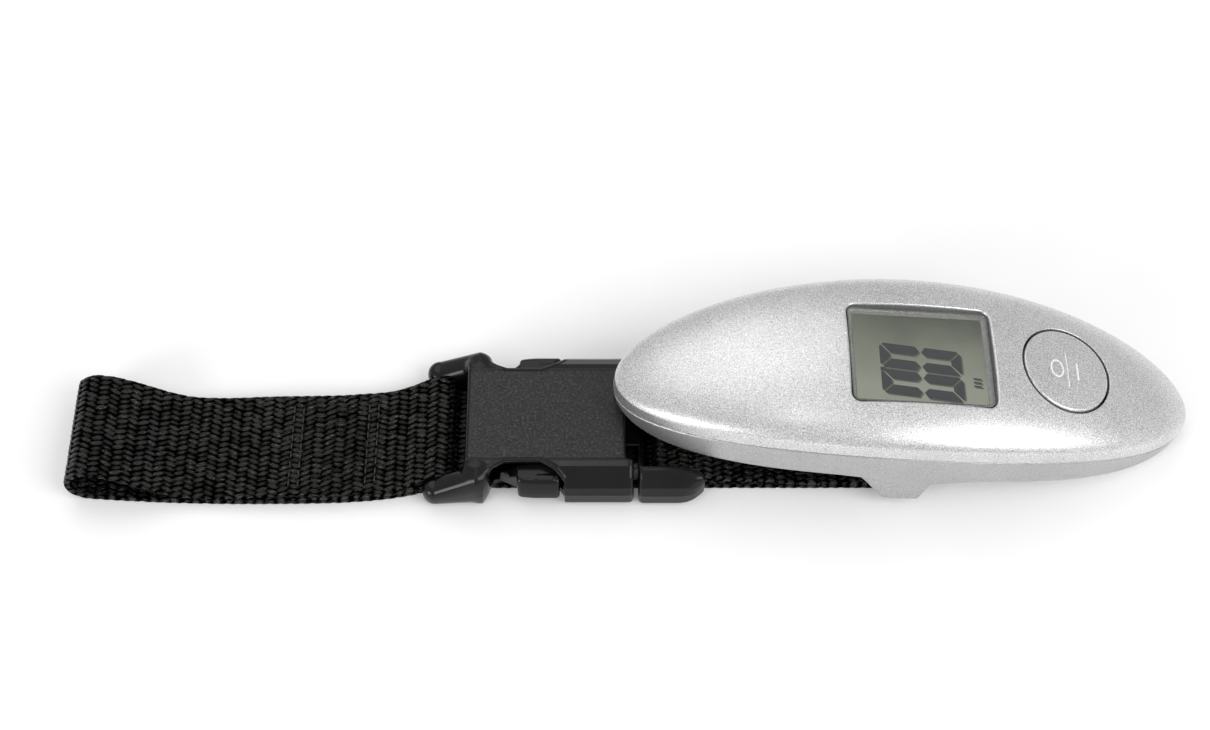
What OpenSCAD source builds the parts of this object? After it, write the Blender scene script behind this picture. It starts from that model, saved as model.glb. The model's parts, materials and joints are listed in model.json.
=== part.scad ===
/* [Handle] */
// Length of the handle, tip to tip
handle_length = 124; // [116:1:132]
// Width of the handle across its middle
handle_width = 42; // [40:1:46]
// How far the tips droop below the middle
arch_drop = 12; // [8:0.5:12]
// Height of the upright band at the top cover's rim
rim_height = 3; // [2:0.5:4]
// Height of the dome above that band
dome_height = 6; // [5.5:0.5:8]
// Depth of the bottom cover below the parting line
bottom_depth = 10.4; // [10:0.1:11]
// Thickness of both covers
wall = 1.6; // [1.2:0.1:1.8]
// Angle at which the handle rests, right tip down
rest_tilt = 6; // [4:0.5:7]

/* [Display and button] */
// Length of the window along the handle
window_length = 30.4; // [28:0.2:31]
// Width of the window
window_width = 23.4; // [21:0.2:24]
// Centre of the button from the middle of the handle
button_x = 31.5; // [31:0.5:33]
// Radius of the button's hole
button_hole_r = 10.05; // [9:0.05:10.5]
// Travel of the button
button_travel = 0.6; // [0.3:0.1:0.6]

/* [Strap collar] */
// Depth of the collar's mouth below the parting line
collar_depth = 18.3; // [18:0.1:18.4]
// Half width of the collar across the handle
collar_half_y = 20.2; // [19:0.1:20.2]

/* [Strap] */
// Width of the webbing
webbing_width = 25; // [20:1:25]
// Thickness of the webbing
webbing_t = 1.3; // [1:0.1:1.3]
// Sideways place of the strap in the collar
strap_y = -4; // [-4:0.5:0]
// Left-most place of the strap's end loop
loop_end_x = -179; // [-200:1:-170]
// Height of the end loop's middle line above the lower strand's
loop_height = 8; // [7:0.5:10]

/* [Buckle] */
// Place of the socket's mouth from the middle of the handle
mouth_x = -58.5; // [-62:0.5:-57]
// Width over the buckle
buckle_width = 33; // [33:0.5:36]
// Height of the socket
socket_height = 9.2; // [9.2:0.1:9.6]

/* [Battery] */
// Radius of the coin cell
cell_r = 10; // [10:0.1:10]
// Thickness of the coin cell
cell_t = 3.2; // [2.5:0.1:3.2]
// Centre of the coin cell from the middle of the handle
cell_x = 33; // [32:0.5:33]

/* [Hidden] */

running_gap = 0.05;     // radial, a pin in its hole
A = handle_length / 2;
B = handle_width / 2;
draft = 0.5;            // how much narrower the bottom cover is at its lower edge
sides = 64;             // points round a cover's ring
seam = 0.1;             // half of the gap on the parting line

// ---- the handle's surfaces, in the handle's own frame: z = 0 on the parting line at the middle

// The parting line, an arch
function arch(x) = -arch_drop * pow(x / A, 2);
// Height of the top cover's outside
function dome(x, y) =
    arch(x) + rim_height + dome_height * sqrt(max(0, 1 - pow(x / A, 2) - pow(y / B, 2)));
// Depth of the bottom cover below the parting line
function belly(x) = bottom_depth * pow(max(0, 1 - pow(x / A, 4)), 0.6);
// Depth of the side walls as a share of that; they reach further down beside the strap's collar
function wall_share(x) = 0.9 + 0.34 * exp(-pow((x - 1) / 9, 2));
// Height of the underside, flat across its middle and turning to the side walls near its edge
function underside(x, rho) =
    arch(x) - belly(x) * (wall_share(x) + (1 - wall_share(x)) * sqrt(max(0, 1 - pow(rho, 8))));

// Height of the handle's parting line over the table when its right tip touches
function height_over_tip(x) = x * sin(rest_tilt) - underside(x, 0) * cos(rest_tilt);
rest_height = max([for (x = [0 : 0.25 : A - draft]) height_over_tip(x)]);

// The part's origin is at the middle of its box, on the table
function to_table(x, z) = [
    x * cos(rest_tilt) + z * sin(rest_tilt),
    rest_height - x * sin(rest_tilt) + z * cos(rest_tilt)
];
right_end = to_table(A, arch(A) + rim_height)[0];
row_shift = -(right_end + loop_end_x) / 2;

module on_table() { translate([row_shift, 0, 0]) children(); }
module in_handle() { on_table() translate([0, 0, rest_height]) rotate([0, rest_tilt, 0]) children(); }

// ---- closed solids from rings of points

// A solid through rings of equal count, closed at both ends by a point
module ring_solid(first, rings, last) {
    n = len(rings[0]);
    points = concat([first], [for (ring = rings) each ring], [last]);
    end = len(points) - 1;
    faces = concat(
        [for (j = [0 : n - 1]) [0, 1 + (j + 1) % n, 1 + j]],
        [for (i = [0 : len(rings) - 2], j = [0 : n - 1])
            let (a = 1 + i * n + j, b = 1 + i * n + (j + 1) % n)
            each [[a, b, b + n], [a, b + n, a + n]]],
        [for (j = [0 : n - 1])
            let (base = end - n)
            [end, base + j, base + (j + 1) % n]]
    );
    polyhedron(points, faces);
}

// An oval ring: half axes, height as a function value per point
function oval(a, b, angle) = [a * cos(angle), b * sin(angle)];
function dome_ring(a, b, h, t) = [
    for (i = [0 : sides - 1])
    let (p = oval(a * sin(t), b * sin(t), i * 360 / sides))
    [p[0], p[1], arch(p[0]) + rim_height + h * cos(t)]
];
function level_ring(a, b, lift) = [
    for (i = [0 : sides - 1])
    let (p = oval(a, b, i * 360 / sides))
    [p[0], p[1], arch(p[0]) + lift]
];
function belly_ring(a, b, rho, lift) = [
    for (i = [0 : sides - 1])
    let (p = oval(a * rho, b * rho, i * 360 / sides))
    [p[0], p[1], underside(p[0], rho) + lift]
];

// A layer of the dome between two depths under its outside, with plan inset
module dome_layer(outer, inner) {
    steps = [12 : 13 : 90];
    back = [for (t = [90 : -13 : 12]) t];
    ring_solid(
        [0, 0, rim_height + dome_height - outer],
        concat(
            [for (t = steps) dome_ring(A - outer, B - outer, dome_height - outer, t)],
            [level_ring(A - outer, B - outer, seam)],
            [level_ring(A - inner, B - inner, seam)],
            [for (t = back) dome_ring(A - inner, B - inner, dome_height - inner, t)]
        ),
        [0, 0, rim_height + dome_height - inner]
    );
}

// A box centred in x and y, standing on z
module block(size, at) { translate([at[0] - size[0] / 2, at[1] - size[1] / 2, at[2]]) cube(size); }
// A cylinder standing on z
module post(r, h, at) { translate(at) cylinder(r = r, h = h, $fn = 48); }
// A cylinder along y, centred
module cross_post(r, length, at, $fn = 48) {
    translate([at[0], at[1] + length / 2, at[2]]) rotate([90, 0, 0]) cylinder(r = r, h = length);
}
// A profile in x and z, extruded along y from y0 to y1
module profile_along_y(points, y0, y1) {
    translate([0, y1, 0]) rotate([90, 0, 0]) linear_extrude(y1 - y0) polygon(points);
}

// ---- display stack, from the circuit board upwards

board_z = 0;
board_t = 1;
lcd_z = 3.2;
lcd_t = 2;
lens_t = 1.3;
lens_z = lcd_z + lcd_t + 0.1;
window_r = 2;

// A plate with rounded corners
module plate(length, width, t, r, z) {
    translate([0, 0, z])
        linear_extrude(t)
            union() {
                square([length - 2 * r, width], center = true);
                square([length, width - 2 * r], center = true);
                for (sx = [-1, 1], sy = [-1, 1])
                    translate([sx * (length / 2 - r), sy * (width / 2 - r)]) circle(r = r, $fn = 32);
            }
}

// ---- fasteners

case_screw_places = [[-47, 0], [51, 0], [12, 15.2], [12, -15.2]];
board_screw_places = [[-19.3, 10], [-19.3, -10], [20.5, 8.8], [20.5, -8.8]];
boss_r = 2.6;
case_screw_r = 1.25;
case_screw_top = -3.2;  // where the case screws end
case_joint_z = -6.8;    // where the two covers' bosses meet
board_screw_r = 0.9;

module case_boss_places() { for (p = case_screw_places) translate([p[0], p[1], 0]) children(); }
module board_boss_places() { for (p = board_screw_places) translate([p[0], p[1], 0]) children(); }

// Everything under the dome's inside
module under_dome() {
    intersection() {
        children();
        ring_solid(
            [0, 0, rim_height + dome_height - wall / 2],
            concat(
                [for (t = [12 : 13 : 90]) dome_ring(A - wall / 2, B - wall / 2, dome_height - wall / 2, t)],
                [level_ring(A - wall / 2, B - wall / 2, -12)]
            ),
            [0, 0, -12 - arch_drop]
        );
    }
}

module top_cover() {
    color("silver") in_handle() difference() {
        union() {
            dome_layer(0, wall);
            under_dome() {
                union() {
                    for (p = case_screw_places) post(boss_r, 14, [p[0], p[1], case_joint_z + seam]);
                    for (p = board_screw_places) post(boss_r - 0.7, 9, [p[0], p[1], board_z + board_t]);
                }
            }
        }
        plate(window_length, window_width, 8, window_r, lens_z - 0.1);
        block([window_length + 2.2, window_width + 2.2, 2.2], [0, 0, lcd_z + 0.2]);
        post(button_hole_r, 12, [button_x, 0, -2]);
        case_boss_places() post(case_screw_r + 0.01, case_screw_top - case_joint_z + 0.4, [0, 0, case_joint_z]);
        board_boss_places() post(board_screw_r + 0.01, 3.2, [0, 0, board_z + 0.5]);
    }
}

// ---- bottom cover with its strap collar, bosses and battery bay

pin_z = -9.2;
pin_r = 2;
mouth_half = 1.45;      // half of the collar's mouth along the handle
slot_half_y = 18.3;
beam_top = -1.4;
beam_t = 4.2;
beam_y = 12;
beam_left = -34;
beam_right = 6;
door_length = 26;
door_width = 23;
door_slope = atan2(underside(cell_x - door_length / 2, 0) - underside(cell_x + door_length / 2, 0),
                   door_length);
door_t = 1.6;

// The battery bay's frame: origin on the underside below the cell, x along the sloping floor
module in_bay() { translate([cell_x, 0, underside(cell_x, 0)]) rotate([0, door_slope, 0]) children(); }

module bottom_shell() {
    low_a = A - draft;
    low_b = B - draft;
    ring_solid(
        [0, 0, underside(0, 0) + wall],
        concat(
            [for (r = [0.3, 0.55, 0.74, 0.86, 0.95]) belly_ring(low_a - wall, low_b - wall, r, wall)],
            [belly_ring(low_a - wall, low_b - wall, 1, wall * 0.7)],
            [level_ring(A - wall, B - wall, -seam)],
            [level_ring(A, B, -seam)],
            [belly_ring(low_a, low_b, 1, 0)],
            [for (r = [0.96, 0.88, 0.75, 0.55, 0.3]) belly_ring(low_a, low_b, r, 0)]
        ),
        [0, 0, underside(0, 0)]
    );
}

module collar_outside() {
    profile_along_y(
        [[-9.5, -9.6], [-9.5, -10.8], [-7.6, -12.2], [-5.2, -15.6], [-4.2, -collar_depth + 0.5],
         [-3.7, -collar_depth], [3.4, -collar_depth], [3.9, -collar_depth + 0.5], [4.6, -15],
         [5.6, -12], [7, -10.6], [7, -9.6]],
        -collar_half_y, collar_half_y);
}

module collar_inside() {
    profile_along_y(
        [[-4.2, -6.5], [-4.2, -13], [-mouth_half, -16.2], [-mouth_half, -collar_depth + 0.55],
         [-mouth_half - 0.5, -collar_depth - 0.01], [mouth_half + 0.5, -collar_depth - 0.01],
         [mouth_half, -collar_depth + 0.55], [mouth_half, -16.2], [4.2, -13], [4.2, -6.5]],
        -slot_half_y, slot_half_y);
}

module bottom_cover() {
    color("gainsboro") in_handle() difference() {
        union() {
            bottom_shell();
            collar_outside();
            // seat of the load cell's fixed end
            block([15, beam_y + 1, 4.4], [beam_left + 8, 0, beam_top - beam_t - 4.4]);
            for (p = case_screw_places)
                post(boss_r, case_joint_z - underside(p[0], 0) - 1, [p[0], p[1], underside(p[0], 0) + 1]);
            // wall of the battery bay
            in_bay() post(cell_r + 3.4, 5.4, [0, 0, 0.6]);
        }
        collar_inside();
        for (x = [-31, -24.5]) post(1.26, 5, [x, 0, beam_top - beam_t - 4.4]);
        for (p = case_screw_places) {
            post(case_screw_r + 0.15, 13, [p[0], p[1], -19]);
            post(2.35, 2.2, [p[0], p[1], underside(p[0], 0) - 0.6]);
        }
        in_bay() {
            post(cell_r + 0.3, 7, [0, 0, door_t]);
            block([door_length, door_width, door_t + 1.4], [0, 0, -1]);
            // room for the door's tongues, its finger notch and the two contacts
            for (y = [-6, 6])
                translate([-door_length / 2 - 3.8, y - 2.5, door_t]) cube([7.4, 5, 3.6]);
            block([4.2, 3, 8], [-4, cell_r - 0.9 + 1.6, door_t]);
            block([4, 5, 8], [-cell_r - 1.4, 0, door_t + 2.6]);
        }
    }
}

module display_lens() {
    color([0.75, 0.85, 0.8, 0.35]) in_handle()
        plate(window_length - 0.2, window_width - 0.2, lens_t, window_r - 0.1, lens_z);
}

module lcd_panel() {
    color("darkolivegreen") in_handle() block([28.4, 21.4, lcd_t], [0, 0, lcd_z]);
}

module lcd_holder() {
    color("dimgray") in_handle() difference() {
        block([32, 24.6, lcd_z + 0.05 - board_t], [0, 0, board_z + board_t]);
        block([25.6, 15.6, 4], [0, -0.9, board_z]);
        block([25, 2.4, 4], [0, 9, board_z]);
        block([28.6, 21.6, 2], [0, 0, lcd_z - 0.02]);
    }
}

module zebra_connector() {
    color("lightpink") in_handle() block([24.6, 2, lcd_z - 0.02 - board_t], [0, 9, board_z + board_t]);
}

module circuit_board() {
    color("seagreen") in_handle() difference() {
        translate([0, 0, board_z]) linear_extrude(board_t)
            polygon([[-21.5, -12.2], [14, -12.2], [24, -10.8], [36, -5.5], [36, 5.5], [24, 10.8],
                     [14, 12.2], [-21.5, 12.2]]);
        for (p = board_screw_places) post(board_screw_r + 0.15, 4, [p[0], p[1], -1]);
    }
}

module controller_chip() {
    color("black") in_handle() block([7, 7, 1], [14, 0, board_z - 1]);
}

module board_capacitors() {
    color("tan") in_handle() for (p = [[21, -3], [21, 3], [24.5, -3], [8.4, 8], [11.4, 8], [14.4, 8]])
        block([1.6, 0.9, 0.7], [p[0], p[1], board_z - 0.7]);
}

switch_size = 4.2;
switch_t = 1.2;
plunger_r = 1.5;
function button_under() = dome(button_x, 0) - 1.8;

module button_switch() {
    color("gray") in_handle() difference() {
        block([switch_size, switch_size, switch_t], [button_x, 0, board_z + board_t]);
        post(plunger_r + running_gap, 4, [button_x, 0, board_z + board_t + 0.3]);
    }
}

module switch_plunger() {
    base = board_z + board_t + 0.3 + button_travel + 0.1;
    color("ivory") in_handle()
        post(plunger_r, button_under() - 0.6 - base, [button_x, 0, base]);
}

module board_screws() {
    color("lightgray") in_handle() board_boss_places() {
        post(board_screw_r, 2.6, [0, 0, board_z - 0.1]);
        post(1.7, 0.9, [0, 0, board_z - 0.9]);
    }
}

module case_screws() {
    color("lightgray") in_handle() for (p = case_screw_places) {
        head = underside(p[0], 0) + 0.2;
        post(2.1, 1.3, [p[0], p[1], head]);
        post(case_screw_r, case_screw_top - head - 1.2, [p[0], p[1], head + 1.2]);
    }
}

// ---- load cell: a beam with a double hole, fixed at its left end

flexure_x = -13;

module load_cell() {
    mid = beam_top - beam_t / 2;
    color("lightsteelblue") in_handle() difference() {
        translate([beam_left, -beam_y / 2, beam_top - beam_t]) cube([beam_right - beam_left, beam_y, beam_t]);
        for (x = [-3.2, 3.2]) cross_post(1.5, 20, [flexure_x + x, 0, mid]);
        block([6.4, 20, 1.4], [flexure_x, 0, mid - 0.7]);
        for (x = [-31, -24.5]) post(1.6, 8, [x, 0, beam_top - beam_t - 1]);
        // notch that seats the shackle's bridge
        block([7.2, 20, 2], [0, 0, beam_top - 0.6]);
    }
}

module load_cell_screws() {
    color("lightgray") in_handle() for (x = [-31, -24.5]) {
        post(2.6, 1.4, [x, 0, beam_top]);
        post(1.25, 8.3, [x, 0, beam_top - 8.2]);
    }
}

module strain_gauges() {
    color("orange") in_handle() {
        block([8, 4.5, 0.2], [flexure_x, 0, beam_top]);
        block([8, 4.5, 0.2], [flexure_x, 0, beam_top - beam_t - 0.2]);
    }
}

// A thin tube swept along points, with 8 sides
module tube(route, r) {
    n = 8;
    function heading(i) = let (d = route[min(i + 1, len(route) - 1)] - route[max(i - 1, 0)]) d / norm(d);
    rings = [for (i = [0 : len(route) - 1])
        let (d = heading(i), s = cross(d, [0, 0.3, 1]), u = s / norm(s), v = cross(d, u))
        [for (j = [0 : n - 1]) route[i] + r * (cos(j * 45) * u + sin(j * 45) * v)]];
    ring_solid(route[0], rings, route[len(route) - 1]);
}

module load_cell_wires() {
    color("crimson") in_handle() for (i = [0 : 3]) {
        y = -1.5 + i;
        tube([[flexure_x + 4.2, y, beam_top + 0.45], [flexure_x + 5, y, beam_top + 0.5],
              [flexure_x + 5.8, y, beam_top + 0.7], [flexure_x + 6.4, y, beam_top + 1.1],
              [flexure_x + 6.6, y, board_z - 0.02]], 0.25);
    }
}

// ---- shackle: a bent strip over the beam that carries the strap's pin

shackle_y = 17.1;       // inside of its legs
shackle_t = 1.1;

module shackle() {
    top = beam_top + 0.6;
    color("lightgray") in_handle() difference() {
        union() {
            translate([-3.5, -shackle_y - shackle_t, beam_top - 0.6])
                cube([7, 2 * (shackle_y + shackle_t), 1.2]);
            for (s = [-1, 1]) {
                translate([-3.5, s * (shackle_y + shackle_t / 2) - shackle_t / 2, pin_z])
                    cube([7, shackle_t, top - pin_z]);
                cross_post(3.3, shackle_t, [0, s * (shackle_y + shackle_t / 2), pin_z]);
            }
        }
        cross_post(pin_r + running_gap, 60, [0, 0, pin_z]);
    }
}

module shackle_pin() {
    color("gainsboro") in_handle() cross_post(pin_r, 2 * (shackle_y + shackle_t) - 0.1, [0, 0, pin_z]);
}

// ---- battery

module battery_cell() {
    color("whitesmoke") in_handle() in_bay() union() {
        post(cell_r, cell_t - 0.6, [0, 0, door_t + 0.45]);
        post(cell_r - 1.2, 0.65, [0, 0, door_t + 0.4 + cell_t - 0.6]);
    }
}

module battery_contact_positive() {
    x = -4;
    y = sqrt(cell_r * cell_r - pow(x + 1.3, 2)) + 0.15;
    color("goldenrod") in_handle() in_bay() translate([x - 1.3, y, door_t + 0.6]) cube([2.6, 0.3, 10.6]);
}

module battery_contact_negative() {
    color("goldenrod") in_handle() in_bay() {
        z = door_t + 0.4 + cell_t + 0.06;
        translate([-cell_r - 1.6, -1.8, z]) cube([cell_r + 3, 3.6, 0.3]);
        translate([-cell_r - 1.6, -1.8, z]) cube([0.3, 3.6, 6.5]);
    }
}

// The door swings down about its round inner edge, where two tongues hook over the floor
module battery_door() {
    clear = 0.2;
    edge = -door_length / 2 + clear;
    hinge_r = door_t / 2;
    color("gainsboro") in_handle() in_bay() union() {
        cross_post(hinge_r, door_width - 2 * clear, [edge + hinge_r, 0, hinge_r]);
        difference() {
            translate([edge + hinge_r, -door_width / 2 + clear, 0])
                cube([door_length - 2 * clear - hinge_r, door_width - 2 * clear, door_t]);
            // finger notch at the outer end
            cross_post(2.2, 9, [door_length / 2 - 1.6, 0, -1.5]);
        }
        for (y = [-6, 6]) {
            translate([edge - 2.4, y - 2, door_t + 0.35]) cube([5, 4, 0.9]);
            translate([edge + 0.6, y - 2, door_t - 0.3]) cube([2, 4, 1]);
        }
    }
}

// ---- on/off button: a cap that follows the dome, with a retaining flange under the cover

module on_off_button() {
    color("silver") in_handle() union() {
        intersection() {
            dome_layer(0, 1.8);
            post(button_hole_r - 0.3, 20, [button_x, 0, -6]);
        }
        intersection() {
            dome_layer(1.75, 2.5);
            difference() {
                post(button_hole_r + 0.9, 20, [button_x, 0, -6]);
                post(button_hole_r - 1.8, 22, [button_x, 0, -7]);
            }
        }
        post(plunger_r - 0.1, 1.4, [button_x, 0, button_under() - 0.6]);
    }
}

// ---- webbing: a flat ribbon that follows a path of [x, z, sideways shift]

module ribbon(path, width = webbing_width, t = webbing_t) {
    last = len(path) - 1;
    function along(i) = let (p = path[min(i + 1, last)], q = path[max(i - 1, 0)],
                             d = [p[0] - q[0], p[1] - q[1]]) d / norm(d);
    corners = [for (i = [0 : last])
        let (d = along(i), n = [-d[1], d[0]] * t / 2, y = strap_y + path[i][2])
        [[path[i][0] + n[0], y - width / 2, path[i][1] + n[1]],
         [path[i][0] + n[0], y + width / 2, path[i][1] + n[1]],
         [path[i][0] - n[0], y + width / 2, path[i][1] - n[1]],
         [path[i][0] - n[0], y - width / 2, path[i][1] - n[1]]]];
    points = [for (c = corners) each c];
    faces = concat(
        [[0, 1, 2, 3]],
        [for (i = [0 : last - 1], j = [0 : 3])
            let (a = 4 * i + j, b = 4 * i + (j + 1) % 4)
            each [[a, a + 4, b + 4], [a, b + 4, b]]],
        [[4 * last + 3, 4 * last + 2, 4 * last + 1, 4 * last]]
    );
    polyhedron(points, faces);
}

layer_gap = 0.06;       // between two layers that lie on each other
half_layer = webbing_t / 2;
leg_x = half_layer + layer_gap / 2;
low_z = half_layer;                             // middle of the lower strand on the table
mid_z = low_z + webbing_t + layer_gap;          // middle of a second layer
high_z = mid_z + webbing_t + layer_gap;         // middle of a third layer
mouth_z = -collar_depth + 0.4;                  // where the bend starts, in the handle's frame
run_start = -6;                                 // where the straight strands start

// Round the pin and down both legs to the collar's mouth, in the handle's frame
module strap_anchor_loop() {
    r = pin_r + 0.08 + half_layer;
    color("black") in_handle() ribbon(concat(
        [[-leg_x, mouth_z, 0], [-leg_x, -16.2, 0], [-leg_x - 0.5, -14.4, 0], [-r + 0.25, -11.4, 0]],
        [for (a = [180 : -15 : 0]) [r * cos(a), pin_z + r * sin(a), 0]],
        [[r - 0.25, -11.4, 0], [leg_x + 0.5, -14.4, 0], [leg_x, -16.2, 0], [leg_x, mouth_z, 0]]
    ));
}

// One leg from the mouth, round onto the table
function bend(leg, r, z_end) =
    let (start = to_table(leg, mouth_z), turn = 90 - rest_tilt, down = 270 - rest_tilt,
         drop = start[1] - r * (1 - cos(turn)) - z_end,
         reach = max(0.02, drop / cos(rest_tilt)),
         knee = start + reach * [cos(down), sin(down)],
         middle = knee + r * [sin(down), -cos(down)])
    concat(
        [[start[0], start[1], 0]],
        [for (a = [down : -turn / 6 : 180 - 0.01]) concat(middle - r * [sin(a), -cos(a)], [0])],
        [[run_start, z_end, 0]]
    );
inner_bend_r = 0.6 + half_layer;

module strap_bend() {
    color("black") on_table() {
        ribbon(bend(-leg_x, inner_bend_r, mid_z));
        ribbon(bend(leg_x, inner_bend_r + webbing_t + layer_gap, low_z));
    }
}

// The straight part of the lower strand, under the buckle
lower_split = -108;
module strap_lower_run() {
    color("black") on_table()
        translate([lower_split, strap_y - webbing_width / 2, 0])
            cube([run_start - lower_split, webbing_width, webbing_t]);
}

// The strand bows sideways between the buckle and the end loop
bow = -4.5;
loop_middle_x = loop_end_x + loop_height / 2 + half_layer;
function sway(x) = x > lower_split ? 0
    : bow * sin(180 * (lower_split - x) / (lower_split - loop_middle_x + 8));

module strap_lower_left() {
    color("black") on_table()
        ribbon([for (i = [0 : 12]) let (x = lower_split + i * (loop_middle_x - lower_split) / 12)
                [x, low_z, sway(x)]]);
}

// It starts and ends with a short straight piece, so that its ends are upright
module strap_end_loop() {
    r = loop_height / 2;
    shift = sway(loop_middle_x);
    color("black") on_table() ribbon(concat(
        [[loop_middle_x - 0.02, low_z, shift]],
        [for (a = [5 : 10 : 175]) [loop_middle_x - 0.1 - r * sin(a), low_z + r * (1 - cos(a)), shift]],
        [[loop_middle_x - 0.02, low_z + loop_height, shift]]
    ));
}

// ---- buckle frame: origin at the socket's mouth, on the underside, in the middle of the strap

buckle_z = webbing_t + 0.15;
module in_buckle() { on_table() translate([mouth_x, strap_y, buckle_z]) children(); }

half_w = buckle_width / 2;
ear_w = half_w + 0.4;   // half width over the ears that flank the webbing
bar_r = 1.2;            // half thickness of the bars that the webbing wraps
wrap_r = bar_r + 0.06 + half_layer;
bar_z = 2.7;            // middle of the socket's bar
plug_bar_z = 3.8;       // middle of the plug's bar
bar_x0 = -42.4;         // socket bar, left and right
bar_x1 = -39.2;
plug_bar_x0 = 5;
plug_bar_x1 = 8;

// A strand that starts on top of a bar, drawn as an easing curve between two heights
function ease(u) = (1 - cos(180 * u)) / 2;
function slope_path(x0, z0, x1, z1, n) =
    [for (i = [0 : n]) let (u = i / n, x = x0 + (x1 - x0) * u) [x, z0 + (z1 - z0) * ease(u), sway(x)]];

// From the end loop over the sewn zone, round the socket's bar and back under it
tail_end = -134;
sewn_right = -112;
module strap_upper_run() {
    bar_mid_z = buckle_z + bar_z;
    bar_right = mouth_x + bar_x1 - bar_r;
    color("black") on_table() ribbon(concat(
        [[loop_middle_x, low_z + loop_height, sway(loop_middle_x)]],
        slope_path(loop_middle_x + 0.3, low_z + loop_height, -152, mid_z + 0.5, 8),
        slope_path(-148, mid_z + 0.5, -136, high_z - 0.1, 3),
        [[tail_end + 1, high_z, sway(tail_end)], [-122, high_z, sway(-122)], [sewn_right, high_z, sway(sewn_right)]],
        slope_path(sewn_right + 1, high_z + 0.1, mouth_x + bar_x0 + 0.6, bar_mid_z + wrap_r, 4),
        [for (a = [90 : -20 : -90]) [bar_right + wrap_r * cos(a), bar_mid_z + wrap_r * sin(a), 0]],
        slope_path(mouth_x + bar_x0 + 0.2, bar_mid_z - wrap_r, sewn_right, mid_z, 4),
        [[-122, mid_z, sway(-122)], [tail_end, mid_z, sway(tail_end)]]
    ));
}

// From the collar under the handle to the plug's bar, round it and back under
module strap_short_strand() {
    bar_mid_z = buckle_z + plug_bar_z;
    bar_left = mouth_x + plug_bar_x0 + bar_r;
    color("black") on_table() ribbon(concat(
        [[run_start, mid_z, 0], [-20, mid_z, 0]],
        slope_path(-26, high_z - 1, -30, high_z, 2),
        slope_path(-36, high_z + 0.05, mouth_x + plug_bar_x1, bar_mid_z + wrap_r, 4),
        [for (a = [90 : 20 : 270]) [bar_left + wrap_r * cos(a), bar_mid_z + wrap_r * sin(a), 0]],
        slope_path(mouth_x + plug_bar_x1, bar_mid_z - wrap_r, -40, mid_z, 3),
        [[-31, mid_z, 0]]
    ));
}

// Stitch rows across both sewn zones, lying on the webbing
module strap_stitching() {
    color("dimgray") on_table() {
        for (x = [tail_end + 2.5, sewn_right - 2])
            translate([x - 0.3, strap_y + sway(x) - 9.5, high_z + half_layer])
                cube([0.6, 19, 0.25]);
    }
}

// ---- side-release buckle

// A bar across the strap with round long edges
module cross_bar(x0, x1, z) {
    for (x = [x0 + bar_r, x1 - bar_r]) cross_post(bar_r, 28, [x, 0, z]);
    translate([x0 + bar_r, -14, z - bar_r]) cube([x1 - x0 - 2 * bar_r, 28, 2 * bar_r]);
}

// A flat bar along x with rounded long edges on its outer side
module rail(x0, x1, y0, y1, z0, z1, r) {
    translate([x0, 0, 0]) rotate([90, 0, 90]) linear_extrude(x1 - x0)
        hull() {
            translate([y0, z0]) square([0.1, z1 - z0]);
            translate([y1 - r, z0 + r]) circle(r = r, $fn = 24);
            translate([y1 - r, z1 - r]) circle(r = r, $fn = 24);
        }
}

module socket_side() {
    // front rail
    rail(-14.4, 0, 14, half_w, 0, socket_height, 2);
    // shoulder behind the side window, and the ear that flanks the webbing
    rail(-37, -31, 11, half_w - 1.6, 0, socket_height, 2);
    translate([0, 0, 0.4]) linear_extrude(socket_height - 1.6)
        polygon([[-34, 11.6], [-36.4, 13.2], [-43.4, 13.2], [-44.7, 14], [-44.7, 15.8], [-43, ear_w],
                 [-38.6, ear_w], [-35, 15.4], [-32, 14]]);
}

module buckle_socket() {
    color([0.15, 0.15, 0.16]) in_buckle() difference() {
        union() {
            // top and bottom panels, closer in at the side windows
            for (z = [0, socket_height - 1.8])
                translate([0, 0, z]) linear_extrude(1.8)
                    polygon([[0, -14.5], [0, 14.5], [-14.4, 14.5], [-17.5, 12.6], [-28, 12.4], [-32, 13.4],
                             [-36, 13.4], [-36, -13.4], [-32, -13.4], [-28, -12.4], [-17.5, -12.6],
                             [-14.4, -14.5]]);
            translate([-36, -13, 0]) cube([1.6, 26, socket_height]);
            for (s = [0, 1]) mirror([0, s, 0]) socket_side();
            // guide ribs for the plug's tongue
            for (y = [-6.3, 4.9]) translate([-30, y, 1]) cube([12, 1.4, socket_height - 2]);
            // bar that the webbing wraps
            cross_bar(bar_x0, bar_x1, bar_z);
        }
        // the mouth
        translate([-14.6, -13.9, 1.8]) cube([15, 27.8, socket_height - 3.6]);
    }
}

module buckle_plug() {
    low = 0.3;
    high = 8.6;
    color([0.15, 0.15, 0.16]) in_buckle() {
        // cross wall that carries the arms and the tongue
        translate([0.3, -14, 1.2]) cube([2.1, 28, high - 2]);
        // wings
        for (s = [0, 1]) mirror([0, s, 0]) translate([0, 0, low]) linear_extrude(high - low)
            polygon([[0.3, 13], [0.3, half_w - 0.3], [9, half_w], [12.6, half_w - 0.7], [14.7, 14.9],
                     [15, 13.8], [14.4, 13]]);
        // bar that the webbing wraps
        cross_bar(plug_bar_x0, plug_bar_x1, plug_bar_z);
        // guide tongue
        translate([0, 0, 2.9]) linear_extrude(3.2)
            polygon([[0.6, -4.4], [-24, -4.4], [-27, -3], [-27, 3], [-24, 4.4], [0.6, 4.4]]);
    }
}

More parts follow.
